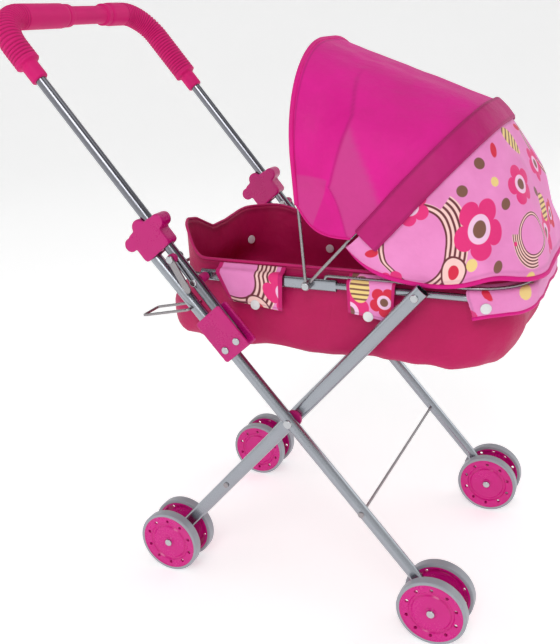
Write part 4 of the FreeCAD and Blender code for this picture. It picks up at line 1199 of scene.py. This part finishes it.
@dataclass
class Hood:
    """Folding hood: plain visor, doubled band and printed canopy on two bows."""

    front_angle: float = 94.0
    middle_angle: float = 47.0
    front_radius: float = 188.2 * MM
    middle_radius: float = 184.6 * MM
    bend: float = 87 * MM
    half: float = 99.6 * MM
    band_width: float = 22 * MM
    legs: int = 40
    arcs: int = 30
    crown: int = 12
    cloth: float = 0.5 * MM
    hem: float = 1.9 * MM
    visor_rows: int = 110
    band_rows: int = 15
    canopy_rows: int = 48
    canopy_end: float = 182 * MM
    canopy_corner: float = 50 * MM
    canopy_half: float = 93.6 * MM
    band_keep: float = 0.3

    def __post_init__(self) -> None:
        self.pivot = joint_place("hood_fold") * (1, 0, 1)

    def spot(self, angle: np.ndarray, rho: np.ndarray, y: np.ndarray) -> np.ndarray:
        """Places at angles and distances about the hood's pivot line."""
        a = np.radians(angle)
        return np.stack(np.broadcast_arrays(self.pivot[0] + rho * np.cos(a), y,
                                            self.pivot[2] + rho * np.sin(a)), axis=-1)

    def arch(self, half: float, rho: float, low: float, bend: float) -> tuple[np.ndarray, np.ndarray]:
        """Half an outline mirrored: y and distance from the pivot, right side first."""
        legs = np.linspace(low, rho - bend, self.legs, endpoint=False)
        turns = np.linspace(0, math.pi / 2, self.arcs, endpoint=False)
        top = np.linspace(half - bend, 0, self.crown)
        y = np.concatenate([np.full(self.legs, half), half - bend + bend * np.cos(turns), top])
        r = np.concatenate([legs, rho - bend + bend * np.sin(turns), np.full(self.crown, rho)])
        return np.concatenate([-y, y[::-1][1:]]), np.concatenate([r, r[::-1][1:]])

    def visor(self) -> None:
        """Taut front skin with a crease that fans from its lower corner."""
        y0, r0 = self.arch(self.half, self.front_radius, 67 * MM, self.bend)
        y1, r1 = self.arch(self.half, self.middle_radius, 58 * MM, self.bend)
        front = self.spot(self.front_angle, r0, y0)
        middle = self.spot(self.middle_angle, r1, y1)
        rho = (r0 + r1) / 2
        leg = np.abs(y0) > 60 * MM
        t = np.linspace(0, 1, self.visor_rows)[:, None]
        points = front[None] * (1 - t[..., None]) + middle[None] * t[..., None]
        low = np.clip((100 * MM - rho) / (34 * MM), 0, 1)[None, :]
        crease = np.interp(rho, np.array((62, 92, 150, 176)) * MM, (0.97, 0.43, 0.42, 0.33))[None]
        side = ease((np.abs(y0) - 30 * MM) / (45 * MM))[None, :]
        tall = (ease((rho - 66 * MM) / (22 * MM)) * ease((184 * MM - rho) / (30 * MM)))[None, :]
        before = np.clip(t / crease, 0, 1)
        valley = np.sin(math.pi * before) * (t < crease)
        after = np.clip((t - crease) / np.maximum(1 - crease, 0.02), 0, 1)
        hollow = np.sin(math.pi * after ** 0.8) * (t > crease)
        out = normals(points)
        out *= np.sign((out * (points - (self.pivot + (0, 0, 0.06)))).sum(-1, keepdims=True))
        inner = np.sin(math.pi * t)
        depth = side * tall * (5.0 * MM * valley + 1.6 * MM * hollow) + 1.2 * MM * (1 - side) * inner
        rough = ripple(points, height=2.2 * MM, pitch=0.050, seed=4.0)
        rough += ripple(points * (1, 1, 0.4), height=1.0 * MM, pitch=0.018, seed=6.0)
        points = points + out * (rough * inner - depth)[..., None]
        droop = 9.0 * MM * np.sin(math.pi * t) * low ** 2
        points -= droop[..., None] * (0.45, 0, 0.89)
        # Painted backlight: the wedge and the lower corner of the visor are painted lighter where
        # light shines through the single layer.
        reach = (152 - 50 * np.clip((t - 0.40) / 0.55, 0, 1) ** 0.8) * MM
        wedge = ease((reach - rho[None, :]) / (9 * MM)) * ease((t - crease) / 0.02)
        corner = 0.8 * ease((90 * MM + 20 * MM * t - rho[None, :]) / (3 * MM))
        corner = corner * ease((0.40 - t) / 0.03)
        thin = np.maximum(wedge, corner) * ease((0.99 - t) / 0.01) * leg[None, :]
        seam = np.zeros_like(thin)
        seam[3] = 0.9
        # Painted shade along the crease line, on top of the stitched seam row.
        seam = np.maximum(seam, np.exp(-((t - crease) / 0.012) ** 2) * side * 0.8)
        run = measured(points)
        piece = grid("hood_visor_cloth", points, run, Finish.HOOD, marks={"thin": thin, "seam": seam})
        thicken(piece, self.cloth, 0.0)
        hem = tube("hood_front_hem", front, self.hem, Finish.PIPING, 12)
        low_edges = [tube(f"hood_visor_edge_{name}", points[:, column], 1.0 * MM, Finish.PIPING, 8)
                     for name, column in (("right", 0), ("left", -1))]
        ends = (tuple(self.spot(self.middle_angle + 0.6, 0.135, 0.0)),
                tuple(self.spot(self.front_angle, 0.135, 0.0)))
        for each in (piece, hem, *low_edges):
            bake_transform(each)
        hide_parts("hood_visor")

    def band(self) -> None:
        """Doubled strip sewn over the middle bow, the same width all along."""
        y, r = self.arch(self.half + 1.7 * MM, self.middle_radius + 1.6 * MM, 66 * MM, self.bend)
        seam_line = self.spot(self.middle_angle + 1.0, r, y)
        a = math.radians(self.middle_angle)
        across = np.array((math.sin(a), 0, -math.cos(a)))
        crown = ease((r - 90 * MM) / (80 * MM))
        radial = np.array((math.cos(a), 0, math.sin(a)))
        widths = np.linspace(0, self.band_width, self.band_rows)
        rows = []
        for i, width in enumerate(widths):
            last = self.band_rows - 1
            tuck = 0.9 * MM if i in (0, last) else 0.0
            puff = 0.7 * MM * math.sin(math.pi * i / last) - tuck
            out = np.stack([np.zeros_like(y), np.sign(y) * (1 - crown), np.zeros_like(y)], -1)
            push = out * puff + radial * (crown * (puff - 0.09 * width))[:, None]
            rows.append(seam_line + across * width + push)
        points = np.array(rows)
        rough = ripple(points, height=0.5 * MM, pitch=0.02, seed=8.0)
        points += normals(points) * rough[..., None]
        seam = np.zeros(points.shape[:2])
        seam[1] = 0.9
        seam[-2] = 0.7
        run = measured(points)
        piece = grid("hood_band_cloth", points, run, Finish.BAND, marks={"seam": seam})
        thicken(piece, 1.0 * MM, 0.0)
        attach(piece, "hood_middle")
        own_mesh(piece)
        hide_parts("hood_band")

    def canopy(self) -> None:
        """Printed rear skin, from under the band down to the piped edge round the head end."""
        top_angle = self.middle_angle - 3.0
        y0, r0 = self.arch(self.half - 0.6 * MM, self.middle_radius - 1.0 * MM, 52 * MM, self.bend)
        y1, x1 = self.arch(self.canopy_half, self.canopy_end, 35 * MM, self.canopy_corner)
        at_side = ease((np.abs(y1) - 40 * MM) / (40 * MM))
        rise = 7.5 * MM + 31 * MM * np.exp(-(x1 - 33 * MM) / (20 * MM))
        rise += 6 * MM * ease((x1 - 95 * MM) / (70 * MM))
        rise += 5 * MM * np.exp(-((x1 - 150 * MM) / (18 * MM)) ** 2) * at_side
        rise += 1.5 * MM * ease((60 * MM - np.abs(y1)) / (60 * MM))
        r1 = np.hypot(x1, rise)
        a1 = np.degrees(np.arctan2(rise, x1))
        v = np.linspace(0, 1, self.canopy_rows)[:, None]
        angle = top_angle * (1 - v) + a1[None] * v
        crown = ease((r0 - 95 * MM) / (80 * MM))[None]
        rho = r0[None] * (1 - v) + r1[None] * v - 3.5 * MM * np.sin(math.pi * v) * crown
        y = y0[None] * (1 - v) + y1[None] * v
        y = y + np.sign(y) * 2.0 * MM * np.sin(math.pi * v ** 1.6) * (1 - crown)
        points = self.spot(angle, rho, y)
        out = normals(points)
        out *= np.sign((out * (points - (self.pivot + (0.05, 0, 0.0)))).sum(-1, keepdims=True))
        free = np.clip(np.minimum((v - 0.12) / 0.3, (1 - v) / 0.12), 0, 1)
        waves = ripple(points, height=3.4 * MM, pitch=0.046, seed=11.0)
        waves += ripple(points * (0.6, 1, 1), height=2.4 * MM, pitch=0.023, seed=12.0)
        points = points + out * (waves * free)[..., None]
        run = measured(points)
        middle = run[:, run.shape[1] // 2, 0][:, None]
        cloth = np.stack([run[..., 0] - middle + 0.160, -run[..., 1] + 0.128], axis=-1)
        seam = np.zeros(points.shape[:2])
        seam[-3] = 0.5
        piece = grid("hood_canopy_cloth", points, cloth, Finish.PRINT, marks={"seam": seam})
        thicken(piece, self.cloth, 0.0)
        piping = tube("hood_canopy_piping", points[-1] + (0, 0, -0.5 * MM), self.hem,
                      Finish.PIPING, 12)
        low, high = 8.0, self.middle_angle - 6.6
        ends = (tuple(self.spot(low, 0.150, 0.0)), tuple(self.spot(high, 0.150, 0.0)))
        for each in (piece, piping):
            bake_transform(each)
        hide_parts("hood_canopy")

    def build(self) -> None:
        """Make the three skins."""
        self.visor()
        self.canopy()
        self.band()


@dataclass
class Studio:
    """Pale floor, soft lights and the camera."""

    eye: tuple[float, float, float] = (0.3161, -0.7179, 0.5014)
    azimuth: float = 24.9
    elevation: float = 19.47
    roll: float = -2.35
    lens: float = 48.61
    aim: float = 0.25
    bowl_start: float = 2.4
    bowl_rise: float = 0.20
    air: float = 0.22
    # Name, place, width and power of each soft light.
    lamps: tuple[tuple[str, tuple[float, float, float], float, float], ...] = (
        ("key", (0.5, -1.9, 1.9), 1.0, 17),
        ("fill", (-1.9, -1.0, 1.2), 1.8, 4),
        ("top", (0.2, 0.3, 2.4), 2.0, 11),
        ("rim", (1.6, 1.4, 1.3), 1.2, 5))

    def camera(self) -> None:
        """Stand the camera in front of the stroller's right side."""
        a, e, r = map(math.radians, (self.azimuth, self.elevation, self.roll))
        ahead = Vector((-math.sin(a) * math.cos(e), math.cos(a) * math.cos(e), -math.sin(e)))
        level = Vector((math.cos(a), math.sin(a), 0))
        up = level.cross(ahead)
        right = level * math.cos(r) + up * math.sin(r)
        top = right.cross(ahead)
        data = bpy.data.cameras.new("camera")
        data.lens = self.lens
        data.sensor_width = 36.0
        data.clip_start = 0.01
        eye = place(bpy.data.objects.new("camera", data))
        turn = Matrix((right, top, -ahead)).transposed()
        eye.matrix_world = Matrix.Translation(Vector(self.eye)) @ turn.to_4x4()
        bpy.context.scene.camera = eye

    def light(self, name: str, at: Vector, size: float, power: float) -> None:
        """A square soft light that faces the stroller."""
        data = bpy.data.lights.new(name, "AREA")
        data.size = size
        data.energy = power
        lamp = place(bpy.data.objects.new(name, data))
        lamp.location = at
        lamp.rotation_mode = "QUATERNION"
        lamp.rotation_quaternion = (at - Vector((0, 0, self.aim))).to_track_quat("Z", "Y")

    def floor(self) -> None:
        """A wide pale floor that curves up far behind."""
        g = Graph("floor_paint")
        cloud = g.noise(g.coords("Object"), 3.0)
        g.set(Base_Color=g.mix(cloud, (0.88, 0.88, 0.88), (0.91, 0.91, 0.91)), Roughness=0.85,
              Emission_Color=(1.0, 1.0, 1.0), Emission_Strength=0.41)
        reach = np.concatenate([[0.0], np.linspace(0.3, 7.5, 40)])
        turns = np.linspace(0, 2 * math.pi, 96, endpoint=False)
        past = np.maximum(reach - self.bowl_start, 0.0)
        height = past ** 2 * self.bowl_rise
        points = np.array([[(d * math.cos(a), d * math.sin(a), h - 0.0005) for a in turns]
                           for d, h in zip(reach, height)])
        cloth = np.zeros((len(reach), len(turns) + 1, 2))
        floor = grid("floor", points, cloth, Finish.SNAP, wrap=True)
        floor.data.materials.clear()
        floor.data.materials.append(g.material)

    def build(self) -> None:
        """Set the stage."""
        self.floor()
        for name, at, size, power in self.lamps:
            self.light(name, Vector(at), size, power)
        world = bpy.data.worlds.new("studio_air")
        world.use_nodes = True
        sky = world.node_tree.nodes["Background"]
        sky.inputs["Color"].default_value = (1.0, 1.0, 1.0, 1.0)
        sky.inputs["Strength"].default_value = self.air
        bpy.context.scene.world = world
        bpy.context.scene.view_settings.view_transform = "Standard"


def main() -> None:
    """Build every sub-assembly in order and note the sizes."""
    logging.basicConfig(level=logging.INFO, format="%(name)s: %(message)s")
    studio = Studio()
    studio.camera()
    Metalwork().dress()
    Mouldings().build()
    Grips().build()
    plan = TubPlan()
    Tub(plan).build()
    Trim(plan).build()
    Hood().build()
    studio.build()


if __name__ == "__main__":
    main()
